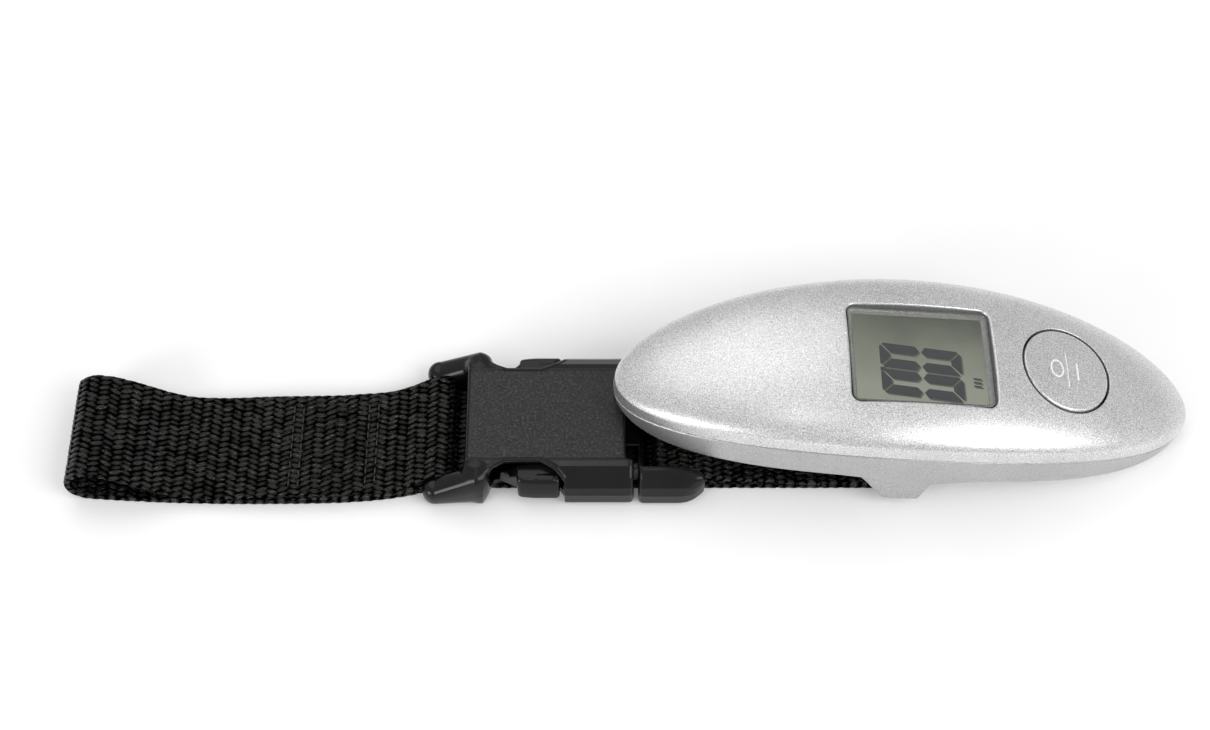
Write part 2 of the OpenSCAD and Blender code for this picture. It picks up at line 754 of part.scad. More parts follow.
arm_pivot = [-0.8, 11.4];   // where an arm bends at its root
arm_root_r = 0.95;
module latch_arm() {
    translate([0, 0, 2.2]) linear_extrude(4.8) {
        translate(arm_pivot) circle(r = arm_root_r, $fn = 48);
        polygon([arm_pivot + [0, -arm_root_r], arm_pivot + [0, arm_root_r], [-13.2, 12.3], [-14.9, 13.4],
                 [-15.6, 16], [-23.6, 16], [-24.2, 13.7], [-28.2, 12.3], [-28.4, 11.4], [-20, 10.6],
                 [-13, 10.4]]);
    }
}
module latch_arm_near() { color([0.2, 0.2, 0.2]) in_buckle() mirror([0, 1, 0]) latch_arm(); }
module latch_arm_far() { color([0.2, 0.2, 0.2]) in_buckle() latch_arm(); }

top_cover();
bottom_cover();
display_lens();
lcd_panel();
lcd_holder();
zebra_connector();
circuit_board();
controller_chip();
board_capacitors();
button_switch();
board_screws();
case_screws();
load_cell();
load_cell_screws();
strain_gauges();
load_cell_wires();
shackle();
shackle_pin();
battery_cell();
battery_contact_positive();
battery_contact_negative();
strap_anchor_loop();
on_off_button();
switch_plunger();
battery_door();
strap_bend();
strap_lower_run();
strap_lower_left();
strap_end_loop();
strap_upper_run();
strap_short_strand();
strap_stitching();
buckle_socket();
buckle_plug();
latch_arm_near();
latch_arm_far();
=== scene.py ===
"""Looks of the digital luggage scale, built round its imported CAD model.

Everything is drawn in millimetres in one of three frames: the handle's (z = 0 on the parting line at
its middle), the buckle's (origin at the socket's mouth) or the table's (z = 0 on the table, x = 0
below the handle's middle). Each piece then goes into the frame shared with the CAD model, in metres.
"""

import json
import math

import bpy
import numpy as np
from mathutils import Matrix, Vector
from mathutils.geometry import delaunay_2d_cdt


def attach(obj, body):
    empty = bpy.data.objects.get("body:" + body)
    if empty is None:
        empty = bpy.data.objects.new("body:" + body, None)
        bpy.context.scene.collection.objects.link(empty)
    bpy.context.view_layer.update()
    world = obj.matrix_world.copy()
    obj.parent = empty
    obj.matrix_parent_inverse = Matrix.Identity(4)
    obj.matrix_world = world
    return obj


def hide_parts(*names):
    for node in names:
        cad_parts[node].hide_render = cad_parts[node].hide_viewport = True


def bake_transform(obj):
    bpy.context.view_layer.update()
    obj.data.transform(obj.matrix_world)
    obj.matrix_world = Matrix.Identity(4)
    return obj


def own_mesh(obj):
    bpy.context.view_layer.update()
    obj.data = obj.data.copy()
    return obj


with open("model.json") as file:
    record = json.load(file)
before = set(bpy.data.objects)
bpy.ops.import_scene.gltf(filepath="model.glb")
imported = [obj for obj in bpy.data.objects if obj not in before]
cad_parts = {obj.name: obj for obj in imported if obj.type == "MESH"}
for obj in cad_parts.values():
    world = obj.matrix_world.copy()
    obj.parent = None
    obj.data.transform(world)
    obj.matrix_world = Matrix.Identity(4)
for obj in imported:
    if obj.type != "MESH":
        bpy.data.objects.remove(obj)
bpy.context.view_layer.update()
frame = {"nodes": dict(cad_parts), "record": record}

MM = 0.001

# ---- driving dimensions, in millimetres

# the handle and its two covers
A, B = 62.0, 21.0               # half length and half width
ARCH = 12.0                     # how far the parting line drops from the middle to the tips
RIM, DOME = 3.0, 6.0            # the upright band above the parting line, and the dome above it
DEPTH = 10.4                    # the belly below the parting line
WALL = 1.6
DRAFT, DRAFT_DEPTH = 0.5, 8.0   # the lower walls lean in by DRAFT over DRAFT_DEPTH
SEAM = 0.1                      # half of the gap between the covers
TILT = math.radians(6)          # the handle leans on its right tip
COLLAR_Y, COLLAR_Z = 20.2, -18.3    # the collar's half width, and the height of its mouth
CASE_SCREWS = ((-47, 0), (51, 0), (12, 15.2), (12, -15.2))
DOOR_X, DOOR_LENGTH, DOOR_WIDTH = 33.0, 26.0, 23.0
PIN_Z, PIN_R = -9.2, 2.0        # the pin that the strap goes round

# the display and the button
WINDOW, WINDOW_R = (30.4, 23.4), 2.0
LIP_R, BUTTON_LIP_R = 0.55, 0.3     # the rounded edges of the window and of the button's hole
LENS_Z, LENS_T = 5.3, 1.3
GLASS_TOP = 5.2
BUTTON_X, BUTTON_HOLE_R, BUTTON_R = 31.5, 10.05, 9.75
HOLLOW_DROP = 1.5               # from the button's face to the hollow over its switch

# the strap
STRAP_Y, WEB_W, WEB_T, LAYER_GAP = -4.0, 25.0, 1.3, 0.06
LOOP_END_X, LOOP_HEIGHT = -179.0, 9.8
BOW_START, BOW = -99.0, -3.9    # left of BOW_START the strap bows sideways by BOW
TAIL_END, SEWN_RIGHT = -134.0, -112.0   # the sewn zone

# the buckle; each cross bar has its two ends in x and its middle height
MOUTH_X, BUCKLE_Z = -58.5, 1.45
BAR_R = 1.2
SOCKET_BAR = (-42.4, -39.2, 2.7)
PLUG_BAR = (5.0, 8.0, 3.8)


def arch(x):
    """Height of the parting line."""
    return -ARCH * (x / A) ** 2


def dome(x, y, inset=0.0):
    """Height of the top cover's outside, or of a surface inset below it."""
    inside = 1 - (x / (A - inset)) ** 2 - (y / (B - inset)) ** 2
    return arch(x) + RIM + (DOME - inset) * np.sqrt(np.maximum(inside, 0))


def belly(x):
    """Depth of the underside below the parting line."""
    return DEPTH * np.maximum(1 - (x / A) ** 4, 0) ** 0.6


def wall_share(x):
    """Depth of the side walls as a share of the belly's; they reach further down beside the collar."""
    return 0.9 + 0.34 * np.exp(-((x - 1) / 9) ** 2)


def underside(x, rho):
    """Height of the underside, where rho runs from 0 at the middle line to 1 at the wall."""
    flat = np.sqrt(np.maximum(1 - np.minimum(rho, 1) ** 8, 0))
    return arch(x) - belly(x) * (wall_share(x) + (1 - wall_share(x)) * flat)


# the handle rests on the lowest place of its right tip
tip_x = np.arange(0, A - DRAFT + 0.01, 0.25)
REST_HEIGHT = float(np.max(tip_x * math.sin(TILT) - underside(tip_x, 0) * math.cos(TILT)))
right_end = A * math.cos(TILT) + (arch(A) + RIM) * math.sin(TILT)
HANDLE_X = -(right_end + LOOP_END_X) / 2

TO_METRES = Matrix.Scale(MM, 4)
TABLE = Matrix.Translation((HANDLE_X, 0, 0))
HANDLE = TABLE @ Matrix.Translation((0, 0, REST_HEIGHT)) @ Matrix.Rotation(TILT, 4, "Y")
BUCKLE = TABLE @ Matrix.Translation((MOUTH_X, STRAP_Y, BUCKLE_Z))
door_fall = float(underside(DOOR_X - DOOR_LENGTH / 2, 0) - underside(DOOR_X + DOOR_LENGTH / 2, 0))
door_slope = Matrix.Rotation(math.atan2(door_fall, DOOR_LENGTH), 4, "Y")
TO_BAY = np.array((Matrix.Translation((DOOR_X, 0, float(underside(DOOR_X, 0)))) @ door_slope).inverted())


# ---- materials


class Nodes:
    """Short names for the nodes that a material is wired from."""

    def __init__(self, name):
        self.material = bpy.data.materials.new(name)
        self.material.use_nodes = True
        self.tree = self.material.node_tree
        self.shader = self.tree.nodes["Principled BSDF"]
        coordinates = self.tree.nodes.new("ShaderNodeTexCoord")
        self.place = coordinates.outputs["Object"]

    def link(self, output, target):
        self.tree.links.new(output, target)

    def set(self, **sockets):
        for name, value in sockets.items():
            self.shader.inputs[name.replace("_", " ")].default_value = value

    def stretched(self, scale):
        """Object coordinates with a scale per axis."""
        node = self.tree.nodes.new("ShaderNodeMapping")
        node.inputs["Scale"].default_value = scale
        self.link(self.place, node.inputs["Vector"])
        return node.outputs["Vector"]

    def noise(self, scale, detail=2.0, stretch=None, roughness=0.5):
        node = self.tree.nodes.new("ShaderNodeTexNoise")
        node.inputs["Scale"].default_value = scale
        node.inputs["Detail"].default_value = detail
        node.inputs["Roughness"].default_value = roughness
        self.link(self.stretched(stretch) if stretch else self.place, node.inputs["Vector"])
        return node.outputs["Fac"]

    def attribute(self, name):
        node = self.tree.nodes.new("ShaderNodeAttribute")
        node.attribute_name = name
        return node.outputs["Fac"]

    def ramp(self, value, *stops):
        """A colour ramp through (position, colour) stops; a single number is a grey."""
        node = self.tree.nodes.new("ShaderNodeValToRGB")
        while len(node.color_ramp.elements) < len(stops):
            node.color_ramp.elements.new(0.5)
        for element, (position, colour) in zip(node.color_ramp.elements, stops):
            element.position = position
            grey = isinstance(colour, (int, float))
            element.color = (colour, colour, colour, 1) if grey else (*colour, 1)
        self.link(value, node.inputs["Fac"])
        return node.outputs["Color"]

    def feed(self, socket, value):
        """Sets a socket to a number or a colour, or links an output to it."""
        if isinstance(value, tuple):
            socket.default_value = (*value, 1)
        elif isinstance(value, (int, float)):
            socket.default_value = value
        else:
            self.link(value, socket)

    def math(self, operation, a, b):
        node = self.tree.nodes.new("ShaderNodeMath")
        node.operation = operation
        self.feed(node.inputs[0], a)
        self.feed(node.inputs[1], b)
        return node.outputs["Value"]

    def mix(self, share, first, second):
        """A mix of two colours; the sockets for colours are numbers 6 and 7."""
        node = self.tree.nodes.new("ShaderNodeMix")
        node.data_type = "RGBA"
        self.feed(node.inputs[0], share)
        self.feed(node.inputs[6], first)
        self.feed(node.inputs[7], second)
        return node.outputs[2]

    def bump(self, height, strength, distance):
        node = self.tree.nodes.new("ShaderNodeBump")
        node.inputs["Strength"].default_value = strength
        node.inputs["Distance"].default_value = distance
        self.link(height, node.inputs["Height"])
        self.link(node.outputs["Normal"], self.shader.inputs["Normal"])

    def colour(self, value, *stops):
        """Base colour from a ramp."""
        self.link(self.ramp(value, *stops), self.shader.inputs["Base Color"])

    def gloss(self, value, low, high):
        """Roughness that varies from low to high."""
        self.link(self.ramp(value, (0.3, low), (0.7, high)), self.shader.inputs["Roughness"])


def silver_paint(name, dark, light, roughness=0.34):
    """Silver lacquer: fine metal flakes of slightly different brightness under a thin clear coat."""
    n = Nodes(name)
    flakes = n.noise(5200, 1.0)
    clouds = n.noise(90, 3.0)
    grain = n.math("ADD", n.math("MULTIPLY", flakes, 0.9), n.math("MULTIPLY", clouds, 0.1))
    n.colour(grain, (0.34, dark), (0.66, light))
    n.set(Metallic=0.85, Coat_Weight=0.12, Coat_Roughness=0.2)
    n.gloss(flakes, roughness - 0.05, roughness + 0.09)
    n.bump(flakes, 0.3, 0.00004)
    return n.material


def moulded_plastic(name, dark, light, roughness, grain_scale=1500, grain=0.25, depth=0.00008):
    """Injection-moulded plastic with an eroded grain and faint uneven gloss."""
    n = Nodes(name)
    grain_field = n.noise(grain_scale, 2.0)
    patches = n.noise(130, 3.0)
    n.colour(grain_field, (0.3, dark), (0.7, light))
    n.gloss(patches, roughness - 0.05, roughness + 0.06)
    n.bump(grain_field, grain, depth)
    return n.material


def brushed_metal(name, colour, roughness, stretch=(1, 12, 1)):
    """Drawn or stamped metal with fine lines."""
    n = Nodes(name)
    lines = n.noise(700, 2.0, stretch)
    shade = tuple(0.8 * c for c in colour)
    n.colour(lines, (0.3, shade), (0.7, colour))
    n.set(Metallic=1.0)
    n.gloss(lines, roughness - 0.06, roughness + 0.08)
    n.bump(lines, 0.12, 0.00004)
    return n.material


def speckled(name, dark, light, roughness, scale=900):
    """Matt stuff with a fine mottled colour, such as a circuit board, rubber or ceramic."""
    n = Nodes(name)
    spots = n.noise(scale, 3.0)
    n.colour(spots, (0.32, dark), (0.68, light))
    n.gloss(spots, roughness - 0.05, roughness + 0.05)
    n.bump(spots, 0.1, 0.00005)
    return n.material


def webbing_yarn():
    """Black polypropylene yarn: fine filaments along each float with painted glints on their brightest
    streaks, and painted shade that makes it darker down between the yarns.
    """
    n = Nodes("webbing_yarn")
    filaments = n.noise(900, 3.0, (1.0, 5.0, 5.0))
    fuzz = n.noise(2200, 2.0)
    raised = n.attribute("raised")
    strands = n.math("ADD", n.math("MULTIPLY", filaments, 0.75), n.math("MULTIPLY", fuzz, 0.25))
    # the ramp's bright end is a painted glint along the filaments
    top = n.ramp(strands, (0.44, (0.0005, 0.0005, 0.0004)), (0.56, (0.0020, 0.0020, 0.0015)),
                 (0.68, (0.11, 0.108, 0.09)))
    # painted shade: where the yarn lies low between the floats its colour is near black
    n.link(n.mix(n.ramp(raised, (0.45, 0.0), (0.95, 1.0)), (0.0008, 0.0008, 0.0006), top),
           n.shader.inputs["Base Color"])
    n.link(n.ramp(raised, (0.55, 0.0), (0.97, 0.38)), n.shader.inputs["Specular IOR Level"])
    n.set(Roughness=0.24)
    n.bump(strands, 1.0, 0.0003)
    return n.material


def acetal():
    """Black acetal: level faces carry a fine eroded grain, the rails and bevels are glossier."""
    n = Nodes("buckle_plastic")
    grain = n.noise(1900, 2.0)
    patches = n.noise(150, 3.0)
    level = n.attribute("level")
    speck = n.ramp(grain, (0.36, 0.006), (0.58, 0.022), (0.70, 0.045))
    plain = n.ramp(patches, (0.3, 0.002), (0.7, 0.0045))
    n.link(n.mix(level, plain, speck), n.shader.inputs["Base Color"])
    rough = n.math("ADD", n.math("MULTIPLY", level, 0.18), n.math("MULTIPLY", patches, 0.16))
    n.link(n.math("ADD", rough, 0.12), n.shader.inputs["Roughness"])
    n.set(Specular_IOR_Level=0.32)
    height = n.math("MULTIPLY", grain, n.math("ADD", n.math("MULTIPLY", level, 0.85), 0.15))
    n.bump(height, 0.5, 0.00012)
    return n.material


def stitching_thread():
    """Twisted black thread."""
    n = Nodes("stitching_thread")
    twist = n.noise(1500, 2.0, (1, 4, 1))
    n.colour(twist, (0.35, (0.004, 0.004, 0.004)), (0.65, (0.03, 0.03, 0.027)))
    n.set(Roughness=0.55)
    n.bump(twist, 0.5, 0.0001)
    return n.material


def display_glass():
    """The panel's reflector seen through its polariser: olive grey, with painted shade that makes it
    darker towards the far side.
    """
    n = Nodes("display_panel")
    split = n.tree.nodes.new("ShaderNodeSeparateXYZ")
    n.link(n.place, split.inputs["Vector"])
    cloud = n.noise(60, 2.0)
    grain = n.noise(2400, 1.0)
    # painted shade: the colour darkens with y, towards the window's far side
    far = n.math("ADD", n.math("MULTIPLY", split.outputs["Y"], 26.0), n.math("MULTIPLY", cloud, 0.35))
    painted_shade_tone = n.ramp(far, (0.0, (0.46, 0.48, 0.385)), (0.27, (0.28, 0.295, 0.225)),
                  (0.46, (0.095, 0.102, 0.078)))
    n.link(n.mix(n.ramp(grain, (0.3, 0.0), (0.7, 0.12)), painted_shade_tone, (0.34, 0.35, 0.28)),
           n.shader.inputs["Base Color"])
    n.set(Roughness=0.42, Specular_IOR_Level=0.4)
    return n.material


def clear_window():
    """Clear acrylic with faint smears."""
    n = Nodes("clear_window")
    smear = n.noise(120, 2.0)
    n.gloss(smear, 0.02, 0.05)
    n.set(Base_Color=(0.98, 0.99, 0.98, 1), Transmission_Weight=1.0, IOR=1.49, Specular_IOR_Level=0.25)
    return n.material


MATERIALS = {
    "silver_shell": silver_paint("silver_paint", (0.40, 0.40, 0.405), (0.95, 0.95, 0.955)),
    # painted shade: the bottom cover and door get a darker copy of the same silver paint
    "silver_lower": silver_paint("silver_paint_lower_painted_shade", (0.33, 0.33, 0.335), (0.62, 0.62, 0.625), 0.38),
    "clear_lens": clear_window(),
    "lcd": display_glass(),
    "holder_plastic": moulded_plastic("holder_plastic", (0.03, 0.032, 0.03), (0.05, 0.052, 0.05), 0.4),
    "zebra_rubber": speckled("zebra_rubber", (0.42, 0.2, 0.2), (0.55, 0.28, 0.27), 0.6, 1400),
    "board": speckled("board_mask", (0.01, 0.11, 0.045), (0.02, 0.19, 0.08), 0.35),
    "chip_epoxy": speckled("chip_epoxy", (0.012, 0.012, 0.013), (0.03, 0.03, 0.031), 0.55),
    "ceramic": speckled("ceramic", (0.42, 0.3, 0.17), (0.52, 0.4, 0.25), 0.5),
    "switch_metal": brushed_metal("switch_metal", (0.72, 0.72, 0.72), 0.3),
    "switch_stem": moulded_plastic("switch_stem", (0.6, 0.57, 0.48), (0.72, 0.69, 0.6), 0.4),
    "zinc_steel": brushed_metal("zinc_steel", (0.66, 0.68, 0.7), 0.32),
    "load_cell_metal": brushed_metal("load_cell_metal", (0.6, 0.63, 0.68), 0.36, (10, 1, 1)),
    "gauge_foil": speckled("gauge_foil", (0.5, 0.25, 0.06), (0.7, 0.4, 0.12), 0.35, 1800),
    "wire_insulation": speckled("wire_insulation", (0.4, 0.02, 0.02), (0.55, 0.05, 0.04), 0.45),
    "shackle_steel": brushed_metal("shackle_steel", (0.62, 0.63, 0.65), 0.35, (1, 1, 10)),
    "pin_steel": brushed_metal("pin_steel", (0.7, 0.71, 0.72), 0.22),
    "cell_steel": brushed_metal("cell_steel", (0.74, 0.74, 0.73), 0.25, (3, 3, 1)),
    "contact_brass": brushed_metal("contact_brass", (0.8, 0.62, 0.3), 0.28),
    "webbing": webbing_yarn(),
    "thread": stitching_thread(),
    "buckle_plastic": acetal(),
}
LCD_DARK = speckled("lcd_segment", (0.012, 0.013, 0.018), (0.025, 0.026, 0.034), 0.4, 2000)
LCD_SHADOW = speckled("lcd_shadow", (0.12, 0.13, 0.105), (0.15, 0.16, 0.125), 0.45, 2000)
# painted reflection: mid grey for the frame under the window, standing for the silver wall seen in the
# lens's edge
FRAME_PAINTED_REFLECTION = moulded_plastic("frame_painted_reflection", (0.25, 0.255, 0.235), (0.35, 0.355, 0.33), 0.25)
# near white for the raised on and off marks on the button
MARK_NEAR_WHITE = speckled("mark_relief", (0.80, 0.80, 0.80), (0.92, 0.92, 0.92), 0.3, 2500)


# ---- meshes from arrays


def add_piece(name, points, faces, to_shared, slot, body, stands_for=(), normals=None, material=None,
              **attributes):
    """A finished piece: points in millimetres, put into the shared frame and onto a body."""
    mesh = bpy.data.meshes.new(name)
    mesh.from_pydata(np.asarray(points, float).tolist(), [], [list(map(int, f)) for f in faces])
    mesh.transform(TO_METRES @ to_shared)
    mesh.shade_smooth()
    if normals is not None:
        turn = np.array(to_shared.to_3x3())
        mesh.normals_split_custom_set_from_vertices((np.asarray(normals) @ turn.T).tolist())
    piece = bpy.data.objects.new(name, mesh)
    bpy.context.scene.collection.objects.link(piece)
    piece.data.materials.append(material or MATERIALS[slot])
    for label, values in attributes.items():
        layer = piece.data.attributes.new(label, "FLOAT", "POINT")
        layer.data.foreach_set("value", np.asarray(values, np.float32).reshape(-1))
    if body:
        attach(piece, body)
    if stands_for:
        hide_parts(*stands_for)
    return piece


def unit(vectors):
    """Vectors along the last axis, scaled to length 1."""
    return vectors / np.maximum(np.linalg.norm(vectors, axis=-1, keepdims=True), 1e-9)


def band(first, second, count):
    """Quads between two closed rings of points; each ring is given by the number of its first point."""
    return [(first + i, first + (i + 1) % count, second + (i + 1) % count, second + i)
            for i in range(count)]


def add_tube(points, faces, rings):
    """Appends a closed tube through rings of points, with flat ends."""
    count = len(rings[0])
    first = len(points)
    last = first + count * (len(rings) - 1)
    for ring in rings:
        points += ring
    for start in range(first, last, count):
        faces += band(start, start + count, count)
    faces += [tuple(range(first, first + count))[::-1], tuple(range(last, last + count))]


# ---- solids from a distance field, negative inside

SIDE_AXES = ((0, 1, 2), (1, 2, 0), (2, 0, 1))


def slope_of(field, points, step=0.02):
    """Gradient of the field at each point."""
    columns = []
    for axis in range(3):
        shift = np.zeros(3)
        shift[axis] = step
        ahead, behind = points + shift, points - shift
        columns.append((field(*ahead.T) - field(*behind.T)) / (2 * step))
    return np.stack(columns, 1)


def ends_of_edges(values, axis):
    """The values at the lower and at the upper end of each grid edge along an axis."""
    lower = [slice(None)] * 3
    upper = [slice(None)] * 3
    lower[axis], upper[axis] = slice(0, -1), slice(1, None)
    return values[tuple(lower)], values[tuple(upper)]


def crossings(value):
    """Sum and count, for each grid cell, of the places where the surface crosses the cell's edges."""
    cells = tuple(n - 1 for n in value.shape)
    total, count = np.zeros((*cells, 3)), np.zeros(cells)
    for d, a, b in SIDE_AXES:
        f0, f1 = ends_of_edges(value, d)
        cut = (f0 < 0) != (f1 < 0)
        share = np.where(cut, f0 / np.where(cut, f0 - f1, 1), 0)
        for side_a in (0, 1):
            for side_b in (0, 1):
                part = [slice(None)] * 3
                part[a] = slice(side_a, side_a + cells[a])
                part[b] = slice(side_b, side_b + cells[b])
                here = cut[tuple(part)]
                count += here
                total[..., d] += share[tuple(part)]
                total[..., a] += side_a * here
                total[..., b] += side_b * here
    return total, count


def crossing_quads(inside, number):
    """One quad round each grid edge that the surface crosses, from the cells' point numbers."""
    quads = []
    for d, a, b in SIDE_AXES:
        trim = [slice(1, -1)] * 3
        trim[d] = slice(None)
        inside0, inside1 = (end[tuple(trim)] for end in ends_of_edges(inside, d))
        step_a, step_b = np.eye(3, dtype=int)[a], np.eye(3, dtype=int)[b]
        for cut, order in ((inside0 & ~inside1, 1), (inside1 & ~inside0, -1)):
            corner = np.argwhere(cut)
            corner[:, a] += 1
            corner[:, b] += 1
            ring = [corner - step_a - step_b, corner - step_b, corner, corner - step_a][::order]
            quads.append(np.stack([number[tuple(c.T)] for c in ring], 1))
    return np.concatenate(quads)


def mesh_of_field(field, low, high, cell):
    """Points, quads and outward normals of the surface where field(x, y, z) is 0."""
    axes = [np.arange(a, b + cell, cell) for a, b in zip(low, high)]
    value = field(*np.meshgrid(*axes, indexing="ij"))
    total, count = crossings(value)
    used = np.argwhere(count > 0)
    number = np.full(count.shape, -1)
    number[tuple(used.T)] = np.arange(len(used))
    middle = total[tuple(used.T)] / count[tuple(used.T)][:, None]
    points = np.array([axis[0] for axis in axes]) + (used + middle) * cell
    faces = crossing_quads(value < 0, number)
    for _ in range(3):  # moves each point onto the surface
        slope = slope_of(field, points)
        size = np.maximum((slope ** 2).sum(1), 0.05)
        move = -slope * (field(*points.T) / size)[:, None]
        points = points + np.clip(move, -cell / 3, cell / 3)
    return points, faces, unit(slope_of(field, points, 0.05))


def join(a, b, r=0.0):
    """Union of two fields, with a fillet of about r."""
    if r == 0:
        return np.minimum(a, b)
    h = np.maximum(r - np.abs(a - b), 0) / r
    return np.minimum(a, b) - h * h * r / 4


def both(a, b, r=0.0):
    """Intersection of two fields, with a rounded edge of about r."""
    return -join(-a, -b, r)


def cut_away(a, b, r=0.0):
    """Field a without field b."""
    return both(a, -b, r)


def outline(u, v, corners):
    """Signed distance to a closed outline."""
    nearest = np.full(np.shape(u), 1e9)
    inside = np.zeros(np.shape(u), bool)
    for (x0, y0), (x1, y1) in zip(corners, corners[1:] + corners[:1]):
        ex, ey = x1 - x0, y1 - y0
        t = np.clip(((u - x0) * ex + (v - y0) * ey) / (ex * ex + ey * ey), 0, 1)
        nearest = np.minimum(nearest, (u - x0 - ex * t) ** 2 + (v - y0 - ey * t) ** 2)
        if ey != 0:
            inside ^= ((y0 > v) != (y1 > v)) & (u < ex * (v - y0) / ey + x0)
    return np.where(inside, -1, 1) * np.sqrt(nearest)


def slab(w, low, high):
    """Distance to the space between two parallel planes."""
    return np.abs(w - (low + high) / 2) - (high - low) / 2


def brick(x, y, z, low, high, r=0.0):
    """A box between two corners, with edges rounded by r."""
    q = [slab(w, a + r, b - r) for w, a, b in zip((x, y, z), low, high)]
    outside = np.sqrt(sum(np.maximum(d, 0) ** 2 for d in q))
    return outside + np.minimum(np.maximum(np.maximum(q[0], q[1]), q[2]), 0) - r


PANEL_HALF, PANEL_LOW = 10.8, 8.6   # half width and lowest height of the socket's grained top panel


def add_field_piece(name, field, low, high, cell, to_shared, slot, body, stands_for):
    """A piece meshed from its field; `level` marks the socket's top panel for its material."""
    points, faces, normals = mesh_of_field(field, low, high, cell)
    on_panel = (np.abs(points[:, 1]) < PANEL_HALF) & (points[:, 2] > PANEL_LOW)
    level = np.clip((normals[:, 2] - 0.93) / 0.06, 0, 1) * on_panel
    add_piece(name, points, faces, to_shared, slot, body, stands_for, normals, level=level)


# ---- top cover: a triangulated dome with a window and a button hole


def ring_of(count):
    """Angles of evenly spaced points once round."""
    return np.arange(count) * 2 * math.pi / count


def circle(radius, centre_x, count=96):
    """Points of a circle whose centre is on the handle's middle line."""
    turn = ring_of(count)
    return np.stack([centre_x + radius * np.cos(turn), radius * np.sin(turn)], 1)


def round_rectangle(grow, arc=7, side=14):
    """The window's outline, grown by a distance; the count of points is always the same."""
    half = np.array(WINDOW) / 2 - WINDOW_R
    corners = [(1, 1), (-1, 1), (-1, -1), (1, -1)]
    points = []
    for i, (sx, sy) in enumerate(corners):
        turns = np.linspace(i * math.pi / 2, (i + 1) * math.pi / 2, arc)
        for turn in turns:
            points.append(half * (sx, sy) + (WINDOW_R + grow) * np.array([math.cos(turn), math.sin(turn)]))
        after = corners[(i + 1) % 4]
        start = points[-1]
        end = half * after + (WINDOW_R + grow) * np.array([math.cos(turns[-1]), math.sin(turns[-1])])
        points += [start + (end - start) * k / side for k in range(1, side)]
    return np.array(points)


class Shell:
    """Collects points, normals and faces of a shell."""

    def __init__(self):
        self.points, self.normals, self.faces = [], [], []

    def add(self, points, normals):
        first = len(self.points)
        self.points += [tuple(p) for p in points]
        self.normals += [tuple(n) for n in normals]
        return list(range(first, len(self.points)))

    def bridge(self, a, b):
        """Quads between two closed rings of equal count."""
        n = len(a)
        self.faces += [(a[i], a[(i + 1) % n], b[(i + 1) % n], b[i]) for i in range(n)]


def on_dome(xy, drop=0.0):
    """Points of the top cover's outside, or below it."""
    return np.column_stack([xy, dome(xy[:, 0], xy[:, 1]) - drop])


def dome_normal(x, y, inset=0.0):
    """Outward normal of the dome, from the slope of its height."""
    a, b, h = A - inset, B - inset, DOME - inset
    root = np.sqrt(np.maximum(1 - (x / a) ** 2 - (y / b) ** 2, 1e-6))
    slope_x = -2 * ARCH * x / A ** 2 - h * x / (a * a * root)
    slope_y = -h * y / (b * b * root)
    return unit(np.stack([-slope_x, -slope_y, np.ones_like(slope_x)], -1))


def disc_points(rings):
    """Points of the disc in which a dome is triangulated: the middle, then rings of 12, 24, 36 and so on.

    The distance from the middle is the angle from the dome's top, so the rim is a quarter turn away."""
    points = [np.zeros((1, 2))]
    for k in range(1, rings + 1):
        turn = ring_of(12 * k)
        t = math.pi / 2 * k / rings
        points.append(np.stack([t * np.cos(turn), t * np.sin(turn)], 1))
    return np.concatenate(points)


def onto_disc(xy, a, b):
    """From x and y on a dome of half length a and half width b to the disc."""
    r = np.hypot(xy[:, 0] / a, xy[:, 1] / b)
    turn = np.arctan2(xy[:, 1] / b, xy[:, 0] / a)
    t = np.arcsin(np.minimum(r, 1))
    return np.stack([t * np.cos(turn), t * np.sin(turn)], 1)


def outside_loops(points, loops, margin=0.0):
    """Which points lie outside all the closed loops, by more than a margin."""
    free = np.ones(len(points), bool)
    for loop in loops:
        free &= outline(points[:, 0], points[:, 1], [tuple(p) for p in loop]) > margin
    return free


def dome_sheet(shell, inset, holes, rings=24):
    """Adds a dome with holes; returns its rim and the edge of each hole, as point numbers."""
    a, b = A - inset, B - inset
    disc = disc_points(rings)
    rim_count = 12 * rings
    loops = [onto_disc(hole, a, b) for hole in holes]
    keep = outside_loops(disc, loops, 0.02)
    keep[-rim_count:] = True
    disc = disc[keep]
    rim = range(len(disc) - rim_count, len(disc))
    hole_rings, edges = [], []
    for loop in loops:
        numbers = list(range(len(disc), len(disc) + len(loop)))
        disc = np.concatenate([disc, loop])
        hole_rings.append(numbers)
        edges += list(zip(numbers, numbers[1:] + numbers[:1]))
    made = delaunay_2d_cdt([p.tolist() for p in disc], edges, [], 0, 1e-7)
    flat = np.array([tuple(v) for v in made[0]])
    where = {old: new for new, olds in enumerate(made[3]) for old in olds}
    t = np.hypot(flat[:, 0], flat[:, 1])
    turn = np.arctan2(flat[:, 1], flat[:, 0])
    x, y = a * np.sin(t) * np.cos(turn), b * np.sin(t) * np.sin(turn)
    z = arch(x) + RIM + (DOME - inset) * np.cos(t)
    edge = t > math.pi / 2 - 1e-4
    normals = dome_normal(x, y, inset)
    normals[edge] = unit(np.stack([x / a ** 2, y / b ** 2, np.zeros_like(x)], 1))[edge]
    faces = [f for f in made[2] if len(f) == 3]
    middle = np.array([flat[list(f)].mean(0) for f in faces])
    first = len(shell.points)
    sign = 1 if inset == 0 else -1
    shell.add(np.stack([x, y, z], 1), normals * sign)
    for face, solid in zip(faces, outside_loops(middle, loops)):
        if solid:
            shell.faces.append(tuple(first + i for i in face[::sign]))
    return [first + where[i] for i in rim], [[first + where[i] for i in ring] for ring in hole_rings]


